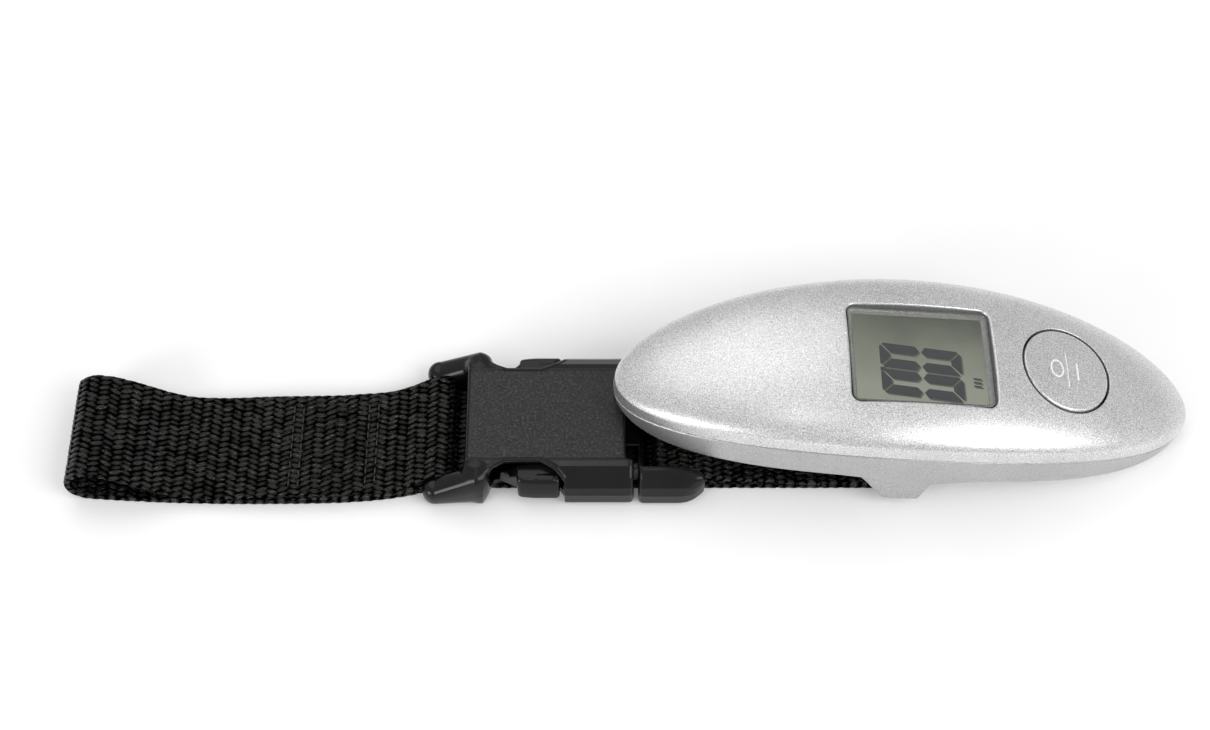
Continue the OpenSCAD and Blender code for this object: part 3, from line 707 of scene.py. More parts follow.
def lip(shell, start, outline_at, radius, floor, in_normal):
    """A rounded lip from the dome into a hole and its wall down to a height; returns the last ring."""
    last = start
    for degrees in (22.5, 45, 67.5, 90):
        turn = math.radians(degrees)
        xy = outline_at(radius * (1 - math.sin(turn)))
        n = dome_normal(*xy.T) * math.cos(turn) + in_normal * math.sin(turn)
        ring = shell.add(on_dome(xy, radius * (1 - math.cos(turn))), unit(n))
        shell.bridge(last, ring)
        last = ring
    xy = outline_at(0)
    for share in (0.5, 1.0):
        top = dome(xy[:, 0], xy[:, 1]) - radius
        ring = shell.add(np.column_stack([xy, top + (floor - top) * share]), in_normal)
        shell.bridge(last, ring)
        last = ring
    return last


def inward(points):
    """Unit vectors from a closed outline towards its inside, level."""
    along = np.roll(points, -1, 0) - np.roll(points, 1, 0)
    return unit(np.stack([-along[:, 1], along[:, 0], np.zeros(len(points))], 1))


def top_cover():
    """The upper cover: outer and inner dome, the walls of the two holes and the band at the rim."""
    shell = Shell()
    window_in, button_in = inward(round_rectangle(0)), inward(circle(BUTTON_HOLE_R, BUTTON_X))
    rim, (window, button) = dome_sheet(
        shell, 0, [round_rectangle(LIP_R), circle(BUTTON_HOLE_R + BUTTON_LIP_R, BUTTON_X)])
    window_wall = lip(shell, window, round_rectangle, LIP_R, LENS_Z - 0.1, window_in)
    button_wall = lip(shell, button, lambda g: circle(BUTTON_HOLE_R + g, BUTTON_X), BUTTON_LIP_R,
                      0.5, button_in)
    inner_rim, (inner_window, inner_button) = dome_sheet(
        shell, WALL, [round_rectangle(1.1), circle(BUTTON_HOLE_R + 0.4, BUTTON_X)])
    # the button's wall ends on the inner dome
    for i in button_wall:
        x, y, _ = shell.points[i]
        shell.points[i] = (x, y, float(dome(x, y, WALL)) - 0.15)
    shell.bridge(button_wall, inner_button)
    shell.bridge(window_wall, inner_window)
    # the upright band at the rim, its rounded lower edge and the wall's underside
    turn = ring_of(len(rim))
    level = unit(np.stack([np.cos(turn) / A, np.sin(turn) / B, 0 * turn], 1))
    last = rim
    for inset, lift, down in ((0, 1.6, 0), (0, 0.45, 0), (0.07, 0.2, 0.5), (0.25, SEAM, 0.9)):
        x, y = (A - inset) * np.cos(turn), (B - inset) * np.sin(turn)
        ring = shell.add(np.stack([x, y, arch(x) + lift], 1), level * (1 - down) - [0, 0, down])
        shell.bridge(ring, last)
        last = ring
    x, y = (A - WALL) * np.cos(turn), (B - WALL) * np.sin(turn)
    inner_edge = shell.add(np.stack([x, y, arch(x) + SEAM], 1), -level)
    shell.bridge(inner_edge, last)
    shell.bridge(inner_rim, inner_edge)
    add_piece("top_cover_shell", shell.points, shell.faces, HANDLE, "silver_shell", "scale_body",
              ["top_cover"], shell.normals)


def button_cap():
    """The cap follows the dome, with a rounded edge; below the cover it has a flange and a hollow."""
    shell = Shell()
    count = 128
    centre = shell.add([(BUTTON_X, 0, float(dome(BUTTON_X, 0)))],
                       dome_normal(np.array([BUTTON_X]), np.array([0.0])))
    last = None
    edge_r = 0.5
    cap_r = BUTTON_R - 0.12
    rows = [(r, 0.0, 0.0) for r in np.linspace(0.6, cap_r - edge_r, 16)]
    rows += [(cap_r - edge_r + edge_r * math.sin(t), edge_r * (1 - math.cos(t)), t)
             for t in np.radians([18, 36, 54, 72, 90])]
    rows += [(cap_r, 1.2, math.pi / 2), (cap_r, 1.75, math.pi / 2)]
    for radius, drop, turn in rows:
        xy = circle(radius, BUTTON_X, count)
        out = np.column_stack([(xy - [BUTTON_X, 0]) / radius, np.zeros(count)])
        n = dome_normal(*xy.T) * math.cos(turn) + out * math.sin(turn)
        ring = shell.add(on_dome(xy, drop), unit(n))
        if last is None:
            shell.faces += [(centre[0], ring[i], ring[(i + 1) % count]) for i in range(count)]
        else:
            shell.bridge(ring, last)
        last = ring
    flange_r, hollow_r = BUTTON_R + 1.1, BUTTON_HOLE_R - 1.8
    for radius, drop, out in ((flange_r, 1.8, 1), (flange_r, 2.4, 1), (hollow_r, 2.4, -1),
                              (hollow_r, HOLLOW_DROP, -1)):
        xy = circle(radius, BUTTON_X, count)
        level = np.column_stack([(xy - [BUTTON_X, 0]) / radius * out, np.zeros(count)])
        ring = shell.add(on_dome(xy, drop), level)
        shell.bridge(ring, last)
        last = ring
    under = shell.add([(BUTTON_X, 0, float(dome(BUTTON_X, 0)) - HOLLOW_DROP)], [(0, 0, -1)])
    shell.faces += [(under[0], last[(i + 1) % count], last[i]) for i in range(count)]
    add_piece("button_cap", shell.points, shell.faces, HANDLE, "silver_shell", "button",
              ["on_off_button"], shell.normals)


def relief_stroke(shell, line, width, height):
    """A low rounded ridge along a line of (x, y) points on the dome."""
    line = np.array(line, float)
    along = unit(np.gradient(line, axis=0))
    across = np.stack([-along[:, 1], along[:, 0]], 1)
    profile = [(-1.0, -0.12), (-0.72, 0.62), (-0.3, 0.95), (0.3, 0.95), (0.72, 0.62), (1.0, -0.12)]
    columns = []
    for side, up in profile:
        xy = line + across * side * width / 2
        n = dome_normal(*xy.T) + np.column_stack([across, np.zeros(len(line))]) * side
        columns.append(shell.add(on_dome(xy, -up * height), unit(n)))
    for a, b in zip(columns, columns[1:] + columns[:1]):
        shell.faces += [(a[i], a[i + 1], b[i + 1], b[i]) for i in range(len(line) - 1)]
    shell.faces += [tuple(c[0] for c in columns), tuple(c[-1] for c in columns[::-1])]


def button_marks():
    """Generic on and off marks, a bar and a ring, with a line between them."""
    shell = Shell()
    for x, y0, y1, width, height in ((31.55, 4.0, -4.6, 0.26, 0.12), (33.9, 1.7, -2.4, 0.5, 0.14)):
        line = [(x, y0 + (y1 - y0) * i / 24) for i in range(25)]
        relief_stroke(shell, line, width, height)
    turn = np.linspace(0, 2 * math.pi, 49)
    ring = np.stack([29.2 + 1.35 * np.cos(turn), -0.4 + 1.95 * np.sin(turn)], 1)
    relief_stroke(shell, ring, 0.44, 0.14)
    add_piece("button_marks", shell.points, shell.faces, HANDLE, "silver_shell", "button",
              material=MARK_NEAR_WHITE)


# ---- display


def bevelled_plate(name, length, width, z0, z1, corner, bevel, slot, stands_for):
    """A plate of the display with round corners and bevelled top edges."""
    turn = ring_of(64)
    ex, ey = np.cos(turn), np.sin(turn)
    half_x, half_y = length / 2 - corner, width / 2 - corner

    def ring(grow, z):
        x = np.sign(ex) * half_x * (np.abs(ex) > 1e-9) + (corner + grow) * ex
        y = np.sign(ey) * half_y * (np.abs(ey) > 1e-9) + (corner + grow) * ey
        return np.stack([x, y, np.full(len(turn), z)], 1).tolist()

    rows = [(-0.9 * corner, z0), (-0.2, z0), (0, z0 + 0.2), (0, z1 - bevel)]
    rows += [(bevel * (math.cos(t) - 1), z1 - bevel * (1 - math.sin(t))) for t in np.radians([30, 60, 90])]
    rows += [(-0.9 * corner, z1)]
    points, faces = [], []
    add_tube(points, faces, [ring(*row) for row in rows])
    add_piece(name, points, faces, HANDLE, slot, "scale_body", stands_for)


DIGIT_SLANT = -0.085
DIGIT_LENGTH, DIGIT_WIDTH, STROKE, SEGMENT_GAP, CHAMFER = 17.2, 5.9, 2.3, 0.12, 0.9


def segment_outlines():
    """The six lit segments of a nought, as corner lists in x (the digit's height) and y (its width)."""
    h, w, s, g, c = DIGIT_LENGTH / 2, DIGIT_WIDTH / 2, STROKE, SEGMENT_GAP, CHAMFER
    end = [(h, -w + c), (h, w - c), (h - c / 2 + g, w - c / 2 - g), (h - s + g, w - s - g),
           (h - s + g, -w + s + g), (h - c / 2 + g, -w + c / 2 + g)]
    side = [(h - c, w), (1.0, w), (0.2, w - 0.55 * s), (1.2, w - s), (h - s - g, w - s),
            (h - c / 2 - g, w - c / 2 + g)]
    flip_x = [[(-x, y) for x, y in part][::-1] for part in (end, side)]
    flip_y = [[(x, -y) for x, y in side][::-1], [(-x, -y) for x, y in side]]
    return [end, side] + flip_x + flip_y


def lcd_digits():
    """Two noughts and the point between them; a second, paler set below is their shadow."""
    parts = []
    for centre_y in (-0.2, -6.45):
        for corners in segment_outlines():
            parts.append([(x + 0.15, y + centre_y + DIGIT_SLANT * x) for x, y in corners])
    parts.append([(-8.5, -2.5), (-7.4, -2.5), (-7.4, -3.4), (-8.5, -3.4)])
    for y in (-4.0, -4.9, -5.8):  # three short bars stand for the unit
        parts.append([(10.9, y), (12.6, y - 0.12), (12.6, y - 0.52), (10.9, y - 0.4)])
    for name, shift, thickness, material in (("lcd_digits", 0.0, 0.03, LCD_DARK),
                                             ("lcd_digit_shadow", 0.32, 0.015, LCD_SHADOW)):
        points, faces = [], []
        for corners in parts:
            add_tube(points, faces, [[(x + shift, y - shift, z) for x, y in corners]
                                     for z in (GLASS_TOP, GLASS_TOP + thickness)])
        piece = add_piece(name, points, faces, HANDLE, "lcd", "scale_body", material=material)
        piece.data.shade_flat()


def display_frame():
    """The dark moulded frame between the window's wall and the panel, seen through the window; it is
    coloured mid grey, a painted reflection of the silver window wall in the lens's edge.
    """
    rows = [(1.0, 3.3), (1.0, 5.25), (-0.9, 5.25), (-1.5, GLASS_TOP), (-1.5, 3.3)]
    count = len(round_rectangle(0))
    points, faces = [], []
    for k, (grow, z) in enumerate(rows):
        points += [(x, y, z) for x, y in round_rectangle(grow)]
        faces += band(count * k, count * ((k + 1) % len(rows)), count)
    add_piece("display_frame", points, faces, HANDLE, "holder_plastic", "scale_body",
              material=FRAME_PAINTED_REFLECTION)


# ---- bottom cover with its collar, from a distance field in the handle's frame

# the collar's outside and inside, in x and z
COLLAR_OUT = [(-10.6, -8.0), (-10.4, -11.2), (-7.2, -14.9), (-4.5, -17.8), (-3.9, COLLAR_Z),
              (3.4, COLLAR_Z), (3.9, -17.6), (4.6, -15), (5.6, -12.2), (7, -10.6), (7.2, -8.0)]
COLLAR_IN = [(-4.2, -5.0), (-4.2, -13), (-1.5, -16.2), (-1.5, -17.8), (-2.1, -18.6), (2.1, -18.6),
             (1.5, -17.8), (1.5, -16.2), (4.2, -13), (4.2, -5.0)]
COLLAR_LEAN = 0.9               # the collar's ends lean outwards below the side wall
SLOT_Y = 18.3                   # half width of the collar's inside
WELL_R, WELL_DEPTH = 2.35, 1.7  # the wells for the case screws
BAY_IN, BAY_OUT, BAY_TOP = 10.3, 13.4, 6.0      # the round wall of the battery bay


def handle_wall(x, y, z):
    """Distance to the tapered oval wall of the bottom cover."""
    depth = np.clip((arch(x) - z) / DRAFT_DEPTH, 0, 1.2)
    a, b = A - DRAFT * depth, B - DRAFT * depth
    r = np.sqrt((x / a) ** 2 + (y / b) ** 2)
    slope = np.sqrt((x / a ** 2) ** 2 + (y / b ** 2) ** 2) / np.maximum(r, 1e-6)
    return (r - 1) / np.maximum(slope, 1 / A)


def lower_hull(x, y, z):
    """The bottom cover's outside without its collar."""
    rho = np.sqrt((x / (A - DRAFT)) ** 2 + (y / (B - DRAFT)) ** 2)
    floor = (underside(x, rho) - z) * 0.9
    return both(handle_wall(x, y, z), floor, 0.9)


def in_bay_frame(x, y, z):
    """From the handle's frame to the battery bay's: origin on the skin, x along the door."""
    return [row[0] * x + row[1] * y + row[2] * z + row[3] for row in TO_BAY[:3]]


def door_outline(bx, by, grow=0.0):
    """The door's rounded rectangle in the bay's frame, grown by a distance."""
    half_x, half_y = DOOR_LENGTH / 2 + grow, DOOR_WIDTH / 2 + grow
    return brick(bx, by, 0 * bx, (-half_x, -half_y, -1), (half_x, half_y, 1), 0.9)


def bottom_field(x, y, z):
    """The lower cover: shell, collar with its slot, screw wells and battery bay."""
    skin = lower_hull(x, y, z)
    half = COLLAR_Y - COLLAR_LEAN * np.clip((z - COLLAR_Z) / 5.4, 0, 1)
    collar = both(outline(x, z, COLLAR_OUT), np.abs(y) - half, 0.5)
    outside = join(skin, collar, 0.1)
    shell = both(outside, z - (arch(x) - SEAM), 0.25)
    shell = cut_away(shell, both(skin + WALL, -collar - 0.8, 0.5), 0.3)
    shell = cut_away(shell, both(outline(x, z, COLLAR_IN), np.abs(y) - SLOT_Y, 0.6), 0.4)
    in_collar = both(both(skin + WALL, np.abs(y) - SLOT_Y + 0.3), np.abs(x) - 4.2)
    shell = cut_away(shell, in_collar, 0.3)
    for sx, sy in CASE_SCREWS:
        well = both(np.hypot(x - sx, y - sy) - WELL_R, z - (underside(sx, 0) + WELL_DEPTH))
        shell = cut_away(shell, well, 0.25)
    bx, by, bz = in_bay_frame(x, y, z)
    shell = cut_away(shell, both(door_outline(bx, by), -(skin + WALL + 0.2)), 0.3)
    radius = np.hypot(bx, by)
    bay = both(both(radius - BAY_OUT, BAY_IN - radius, 0.2), slab(bz, 1.9, BAY_TOP), 0.2)
    bay = both(bay, skin + 0.6)
    return join(shell, bay, 0.2)


def door_field(x, y, z):
    """A plate flush with the underside, with three grip grooves, a finger notch and two tongues."""
    bx, by, bz = in_bay_frame(x, y, z)
    skin = lower_hull(x, y, z)
    plate = both(both(skin, -(skin + WALL)), door_outline(bx, by, -0.2), 0.35)
    plate = both(plate, bz - 2.4)
    pivot = -DOOR_LENGTH / 2 + 1.0
    plate = both(plate, np.where(bx < pivot, np.hypot(bx - pivot, bz - 0.8) - 0.8, -1.0))
    notch = np.sqrt((bx - DOOR_LENGTH / 2 + 1.6) ** 2 + (bz + 1.5) ** 2) - 2.2
    plate = cut_away(plate, both(notch, np.abs(by) - 4.5, 0.4), 0.4)
    for k in range(3):
        groove = np.sqrt((bx - 3.6 - 1.7 * k) ** 2 + (bz + 0.1) ** 2) - 0.38
        plate = cut_away(plate, both(groove, np.abs(by) - 5.0, 0.3), 0.2)
    edge = -DOOR_LENGTH / 2 + 0.2
    for ty in (-6, 6):
        plate = join(plate, brick(bx, by, bz, (edge - 2.4, ty - 2, 1.95), (edge + 2.6, ty + 2, 2.8), 0.2))
        plate = join(plate, brick(bx, by, bz, (edge + 0.6, ty - 2, 1.2), (edge + 2.6, ty + 2, 2.6), 0.2))
    return plate


# ---- side-release buckle, from distance fields in the buckle's frame

# outlines of the side notch and of the socket from above, for positive y, and the section across
NOTCH = [(-14.6, 20), (-14.7, 14.6), (-16.6, 12.7), (-19.6, 11.1), (-27.2, 11.1), (-29.6, 12.2),
         (-31.2, 13.6), (-32.2, 16), (-32.4, 20)]
PANEL = [(0, -1), (0, 18), (-31.5, 18), (-34.5, 14.8), (-35.7, 13.4), (-35.7, -1)]
SECTION = [(-1, 9.15), (10.5, 9.15), (11.1, 9.34), (12.6, 8.85), (14.6, 7.5), (16.0, 5.6), (16.5, 3.9),
           (16.62, 3.6), (16.55, 0.4), (15.9, -1.0), (14.4, -1.1), (13.2, -0.05), (-1, 0)]
# a lug's start and end: the middle, then half the width and half the height
LUG = (((-33.4, 14.0, 3.9), (3.0, 5.1)), ((-42.2, 14.3, 1.5), (2.7, 2.8)))
LUG_SQUARENESS = 2.6            # 2 is round


def buckle_section(y, z):
    """The buckle's domed cross-section; its side walls reach down past the webbing."""
    return outline(np.abs(y), z, SECTION)


def lug(x, y, z):
    """One of the two lugs that flank the webbing: a rounded finger that thins towards its end."""
    (start, thick), (end, thin) = LUG
    d = np.array(end) - np.array(start)
    px, py, pz = x - start[0], np.abs(y) - start[1], z - start[2]
    t = np.clip((px * d[0] + py * d[1]) / (d[0] ** 2 + d[1] ** 2), 0, 1)
    width = thick[0] + (thin[0] - thick[0]) * t
    height = thick[1] + (thin[1] - thick[1]) * t
    level = np.sqrt((px - d[0] * t) ** 2 + (py - d[1] * t) ** 2) / width
    upright = np.abs(pz - d[2] * t) / height
    size = (level ** LUG_SQUARENESS + upright ** LUG_SQUARENESS) ** (1 / LUG_SQUARENESS)
    return (size - 1) * np.minimum(width, height)


def cross_bar(x, y, z, bar, half):
    """A bar across the buckle with round long edges."""
    x0, x1, middle = bar
    r = BAR_R - 0.05
    return brick(x, y, z, (x0, -half, middle - r), (x1, half, middle + r), r - 0.02)


def socket_field(x, y, z):
    """The female half: a domed box with side notches, lugs and a cross bar."""
    side = np.abs(y)
    section = buckle_section(y, z)
    body = both(section, outline(x, side, PANEL), 1.2)
    notch = outline(x, side, NOTCH)
    body = cut_away(body, notch, 0.4)
    # the top panel is set back between the rails at the mouth
    body = cut_away(body, brick(x, y, z, (-1.7, -10.6, 4), (3, 10.6, 12), 0.9), 0.7)
    # bead along the notch's edge
    bead = np.sqrt(notch ** 2 + (section + 0.25) ** 2) - 0.4
    bead = both(both(bead, slab(x, -31.6, -14.6), 0.3), np.maximum(4 - z, side - 14.8), 0.3)
    body = join(body, bead, 0.4)
    # inside: the room for the latch arms and the tongue
    body = cut_away(body, brick(x, y, z, (-31.2, -14.2, 1.7), (3, 14.2, 7.3), 0.5), 0.3)
    for y0 in (-6.3, 4.9):
        body = join(body, brick(x, y, z, (-30, y0, 1), (-18, y0 + 1.4, 8.2), 0.2))
    body = join(body, lug(x, y, z), 1.4)
    body = join(body, cross_bar(x, y, z, SOCKET_BAR, 14), 0.6)
    # two shallow moulding marks on the top panel
    for mark_x, mark_y, depth in ((-26.4, 6.4, 0.2), (-27.2, -6.0, -0.12)):
        away = ((x - mark_x) / 2.6) ** 2 + ((y - mark_y) / 2.0) ** 2
        body = body + depth * np.exp(-away) * (z > 8)
    return body


WING = [(0.9, 11.7), (0.9, 18), (9.5, 18), (12.8, 16.2), (14.9, 14.6), (15.1, 13.4), (13.6, 12.2),
        (9, 11.7)]
TONGUE = [(1.5, -1), (1.5, 4.4), (-24, 4.4), (-27, 3), (-27, -1)]


def plug_field(x, y, z):
    """The male half without its latch arms: two wings, a cross bar and the tongue."""
    side = np.abs(y)
    wing = both(buckle_section(y, z + 0.35), outline(x, side, WING), 1.4)
    falling = z - (8.75 - 0.05 * np.maximum(x - 6, 0) ** 1.6)
    rising = 0.42 * np.maximum(x - 9, 0) - 1.4 - z
    wing = both(both(wing, falling, 1.2), rising, 0.8)
    body = join(wing, brick(x, y, z, (0.9, -13, 1.2), (2.4, 13, 2.4), 0.3), 0.6)
    body = join(body, cross_bar(x, y, z, PLUG_BAR, 13), 0.5)
    tongue = both(outline(x, side, TONGUE), slab(z, 2.7, 5.0), 0.5)
    tongue = both(tongue, z - (3.3 + np.clip(-2 - x, 0, 2)), 0.3)
    return join(body, tongue, 0.6)


ARM = [(1.2, 10.5), (1.2, 12.2), (-12.8, 12.2), (-14.4, 12.8), (-15.6, 14.0), (-15.7, 17.5), (-24.4, 17.5),
       (-24.7, 13.9), (-26.6, 13.1), (-28.3, 12.4), (-28.5, 11.5), (-20, 10.5)]


def arm_field(x, y, z):
    """One latch arm at positive y: a flat spring with a thumb pad whose face bulges outwards."""
    face = 16.6 - 0.05 * np.maximum(z - 2.2, 0) ** 2.1 - 0.02 * np.maximum(-20 - x, 0) ** 2
    body = both(outline(x, y, ARM), y - face, 0.9)
    top = 7.2 - 1.5 * np.clip((-24.4 - x) / 2, 0, 1)
    body = both(body, both(z - top, 1.9 - z), 0.7)
    rib = brick(x, y, z, (-20.5, 13.7, 6.4), (-16.8, 14.9, 7.25), 0.3)
    return join(body, rib, 0.5)


def near_arm_field(x, y, z):
    """The other latch arm, its mirror image."""
    return arm_field(x, -y, z)


# each piece's field, the corners of its box and its cell, then frame, material, body and CAD node
FIELD_PIECES = {
    "bottom_cover_shell": (bottom_field, (-62.6, -21.6, -19.2), (62.6, 21.6, 0.6), 0.45,
                           HANDLE, "silver_lower", "scale_body", ["bottom_cover"]),
    "battery_door_plate": (door_field, (16, -12.6, -16.5), (50, 12.6, -4), 0.3,
                           HANDLE, "silver_lower", "door", ["battery_door"]),
    "buckle_socket_moulding": (socket_field, (-46.2, -19, -1.9), (0.8, 19, 10), 0.34,
                               BUCKLE, "buckle_plastic", "strap", ["buckle_socket"]),
    "buckle_plug_moulding": (plug_field, (-28, -18, -2), (16, 18, 9.6), 0.32,
                             BUCKLE, "buckle_plastic", "plug", ["buckle_plug"]),
    "latch_head_far": (arm_field, (-29.4, 9.6, 1.2), (1.9, 18, 8.2), 0.25,
                       BUCKLE, "buckle_plastic", "latch_far", ["latch_arm_far"]),
    "latch_head_near": (near_arm_field, (-29.4, -18, 1.2), (1.9, -9.6, 8.2), 0.25,
                        BUCKLE, "buckle_plastic", "latch_near", ["latch_arm_near"]),
}


# ---- webbing

PICK, END = 2.26, 1.24          # spacing of the floats along the strap and across it
CORE, FLOAT = 0.27, 0.38        # half thickness between the yarns, and how far a yarn stands proud


def scatter(a, b):
    """A fixed irregular number from -1 to 1 for a pair of numbers."""
    s = np.sin(a * 12.9898 + b * 78.233) * 43758.5453
    return 2 * (s - np.floor(s)) - 1


def weave(u, v):
    """Height of the yarns from 0 to 1: u runs along the strap and v across it.

    Each column of floats leans the other way than its neighbour, which gives the herringbone look."""
    height = np.zeros(np.shape(u))
    column = np.floor(u / PICK)
    for dc in (-1, 0, 1):
        c = column + dc
        odd = np.mod(c, 2)
        lean = 0.3 * (1 - 2 * odd) + 0.16 * np.cos(c * 0.4)
        for dr in (-1, 0, 1):
            row = np.round(v / END - odd / 2) + dr + odd / 2
            du = u - (c + 0.5 + 0.05 * scatter(row, c)) * PICK
            dv = v - (row + 0.08 * scatter(c, row)) * END + lean * du
            bulge = 1 - (du / 1.45) ** 2 - (dv / 0.66) ** 2
            size = 1 + 0.2 * scatter(c + 7, row)
            height = np.maximum(height, np.sqrt(np.maximum(bulge, 0)) * size)
    return np.minimum(height, 1)


def smooth_line(points, step, passes=6):
    """A line through points, with rounded corners and even steps; its ends stay."""
    points = np.array(points, float)
    for _ in range(2):
        run = np.concatenate([[0], np.cumsum(np.linalg.norm(np.diff(points[:, :2], axis=0), axis=1))])
        steps = max(4, int(round(run[-1] / step)))
        even = np.linspace(0, run[-1], steps + 1)
        points = np.stack([np.interp(even, run, points[:, i]) for i in range(points.shape[1])], 1)
        for _ in range(passes):
            points[1:-1] = (points[:-2] + 2 * points[1:-1] + points[2:]) / 4
    return points, even


def strip_faces(rows, across):
    """Faces of a closed strip, whose rings run across the top and back below, with its two ends."""
    count = 2 * across - 2
    base = np.arange(rows - 1)[:, None] * count + np.arange(count)
    after = np.arange(rows - 1)[:, None] * count + (np.arange(count) + 1) % count
    faces = np.stack([base, base + count, after + count, after], 2).reshape(-1, 4).tolist()
    for first, order in ((0, 1), ((rows - 1) * count, -1)):
        for i in range(across - 1):
            corners = (i, i + 1, count - 1 - i, (count - i) % count)
            faces.append([first + corner for corner in dict.fromkeys(corners)][::order])
    return faces


def webbing(name, line, step, across, body, stands_for, start_u=0.0, sewn=None):
    """A woven strap along a line of [x, z, shift in y]; the weave is flatter where it is sewn.

    Returns the piece and its length in metres."""
    line, run = smooth_line(line, step)
    along = unit(np.gradient(line[:, :2], axis=0))
    normal = np.stack([-along[:, 1], along[:, 0]], 1)
    columns = np.linspace(-1, 1, across)
    u = (run + start_u)[:, None] + 0 * columns
    edge = WEB_W / 2 - 0.16 * (1 - np.cos(2 * math.pi * u / PICK))
    v = columns * edge
    thin = np.sqrt(np.maximum(1 - np.maximum((np.abs(v) - WEB_W / 2 + 0.8) / 0.8, 0) ** 2, 0))
    calm = np.ones(len(run))
    if sewn:
        past_left = 1 + np.exp(-(line[:, 0] - sewn[0]) / 0.8)
        past_right = 1 + np.exp((line[:, 0] - sewn[1]) / 0.8)
        calm = 1 - 0.45 / past_left / past_right
    sides, raised = [], []
    for sign, offset in ((1, 0.0), (-1, PICK)):
        h = weave(u + offset, v)
        out = sign * (CORE + FLOAT * h * calm[:, None]) * thin
        x = line[:, 0][:, None] + normal[:, 0][:, None] * out
        z = line[:, 1][:, None] + normal[:, 1][:, None] * out
        y = STRAP_Y + line[:, 2][:, None] + v
        sides.append(np.stack([x, y, z], 2))
        raised.append(h)
    rings = np.concatenate([sides[0], sides[1][:, -2:0:-1]], 1)
    lifted = np.concatenate([raised[0], raised[1][:, -2:0:-1]], 1)
    piece = add_piece(name, rings.reshape(-1, 3), strip_faces(len(run), across), TABLE, "webbing", body,
                      stands_for, raised=lifted)
    return piece, float(run[-1]) * MM


HALF = WEB_T / 2
# heights of the middles of the one, two or three layers that lie on the table
LOW_Z = HALF
MID_Z = LOW_Z + WEB_T + LAYER_GAP
HIGH_Z = MID_Z + WEB_T + LAYER_GAP
LEG_X = HALF + LAYER_GAP / 2    # the two legs in the collar lie on either side of its middle
EXIT_Z = COLLAR_Z + 0.4         # where they begin to bend out of the collar
RUN_START = -6.0                # where they have come down onto the table
WRAP_R = BAR_R + 0.06 + HALF
LOOP_X = LOOP_END_X + LOOP_HEIGHT / 2 + HALF


def sway(x):
    """How far the strap bows sideways between the buckle and its end loop."""
    rise = math.tanh(max(BOW_START - x, 0) / 14)
    return BOW * rise * (1 - 0.35 * (max(-140 - x, 0) / 35) ** 2)


def eased(x0, z0, x1, z1, n):
    """Points of a strand that eases from one height to another."""
    made = []
    for i in range(n + 1):
        x = x0 + (x1 - x0) * i / n
        made.append([x, z0 + (z1 - z0) * (1 - math.cos(math.pi * i / n)) / 2, sway(x)])
    return made


def arc(cx, cz, r, start, end, n, shift=0.0):
    """Points of an arc from one angle to another, in degrees."""
    turns = np.radians(np.linspace(start, end, n + 1))
    return [[cx + r * math.cos(t), cz + r * math.sin(t), shift] for t in turns]


def lower_webbing():
    """The strand on the table, from the collar to the end loop. Returns its length."""
    line = [[RUN_START, LOW_Z, 0], [BOW_START, LOW_Z, 0]]
    line += [[x, LOW_Z, sway(x)] for x in np.linspace(BOW_START, LOOP_X, 24)[1:]]
    piece, length = webbing("webbing_lower", line, 0.42, 96, "strap",
                            ["strap_lower_run", "strap_lower_left"])
    return length


def upper_webbing(start_u):
    """The end loop, and the strand back to the socket's bar, folded over it and sewn down."""
    bar_z = BUCKLE_Z + SOCKET_BAR[2]
    bar_right = MOUTH_X + SOCKET_BAR[1] - BAR_R
    line = arc(LOOP_X, LOW_Z + LOOP_HEIGHT / 2, LOOP_HEIGHT / 2, 270, 90, 12, sway(LOOP_X))
    line += eased(LOOP_X, LOW_Z + LOOP_HEIGHT, -152, MID_Z + 0.5, 8)[1:]
    line += eased(-148, MID_Z + 0.5, -136, HIGH_Z - 0.1, 3)
    line += [[x, HIGH_Z, sway(x)] for x in (TAIL_END + 1, -122, SEWN_RIGHT)]
    line += eased(SEWN_RIGHT + 1, HIGH_Z + 0.1, MOUTH_X + SOCKET_BAR[0] + 0.6, bar_z + WRAP_R, 6)
    line += arc(bar_right, bar_z, WRAP_R, 90, -90, 9, sway(MOUTH_X + SOCKET_BAR[0]))
    line += eased(MOUTH_X + SOCKET_BAR[0] + 0.2, bar_z - WRAP_R, SEWN_RIGHT, MID_Z, 4)
    line += [[-122, MID_Z, sway(-122)], [TAIL_END, MID_Z, sway(TAIL_END)]]
    piece, length = webbing("webbing_upper", line, 0.36, 116, "strap",
                            ["strap_end_loop", "strap_upper_run"], start_u, (TAIL_END + 1, SEWN_RIGHT))


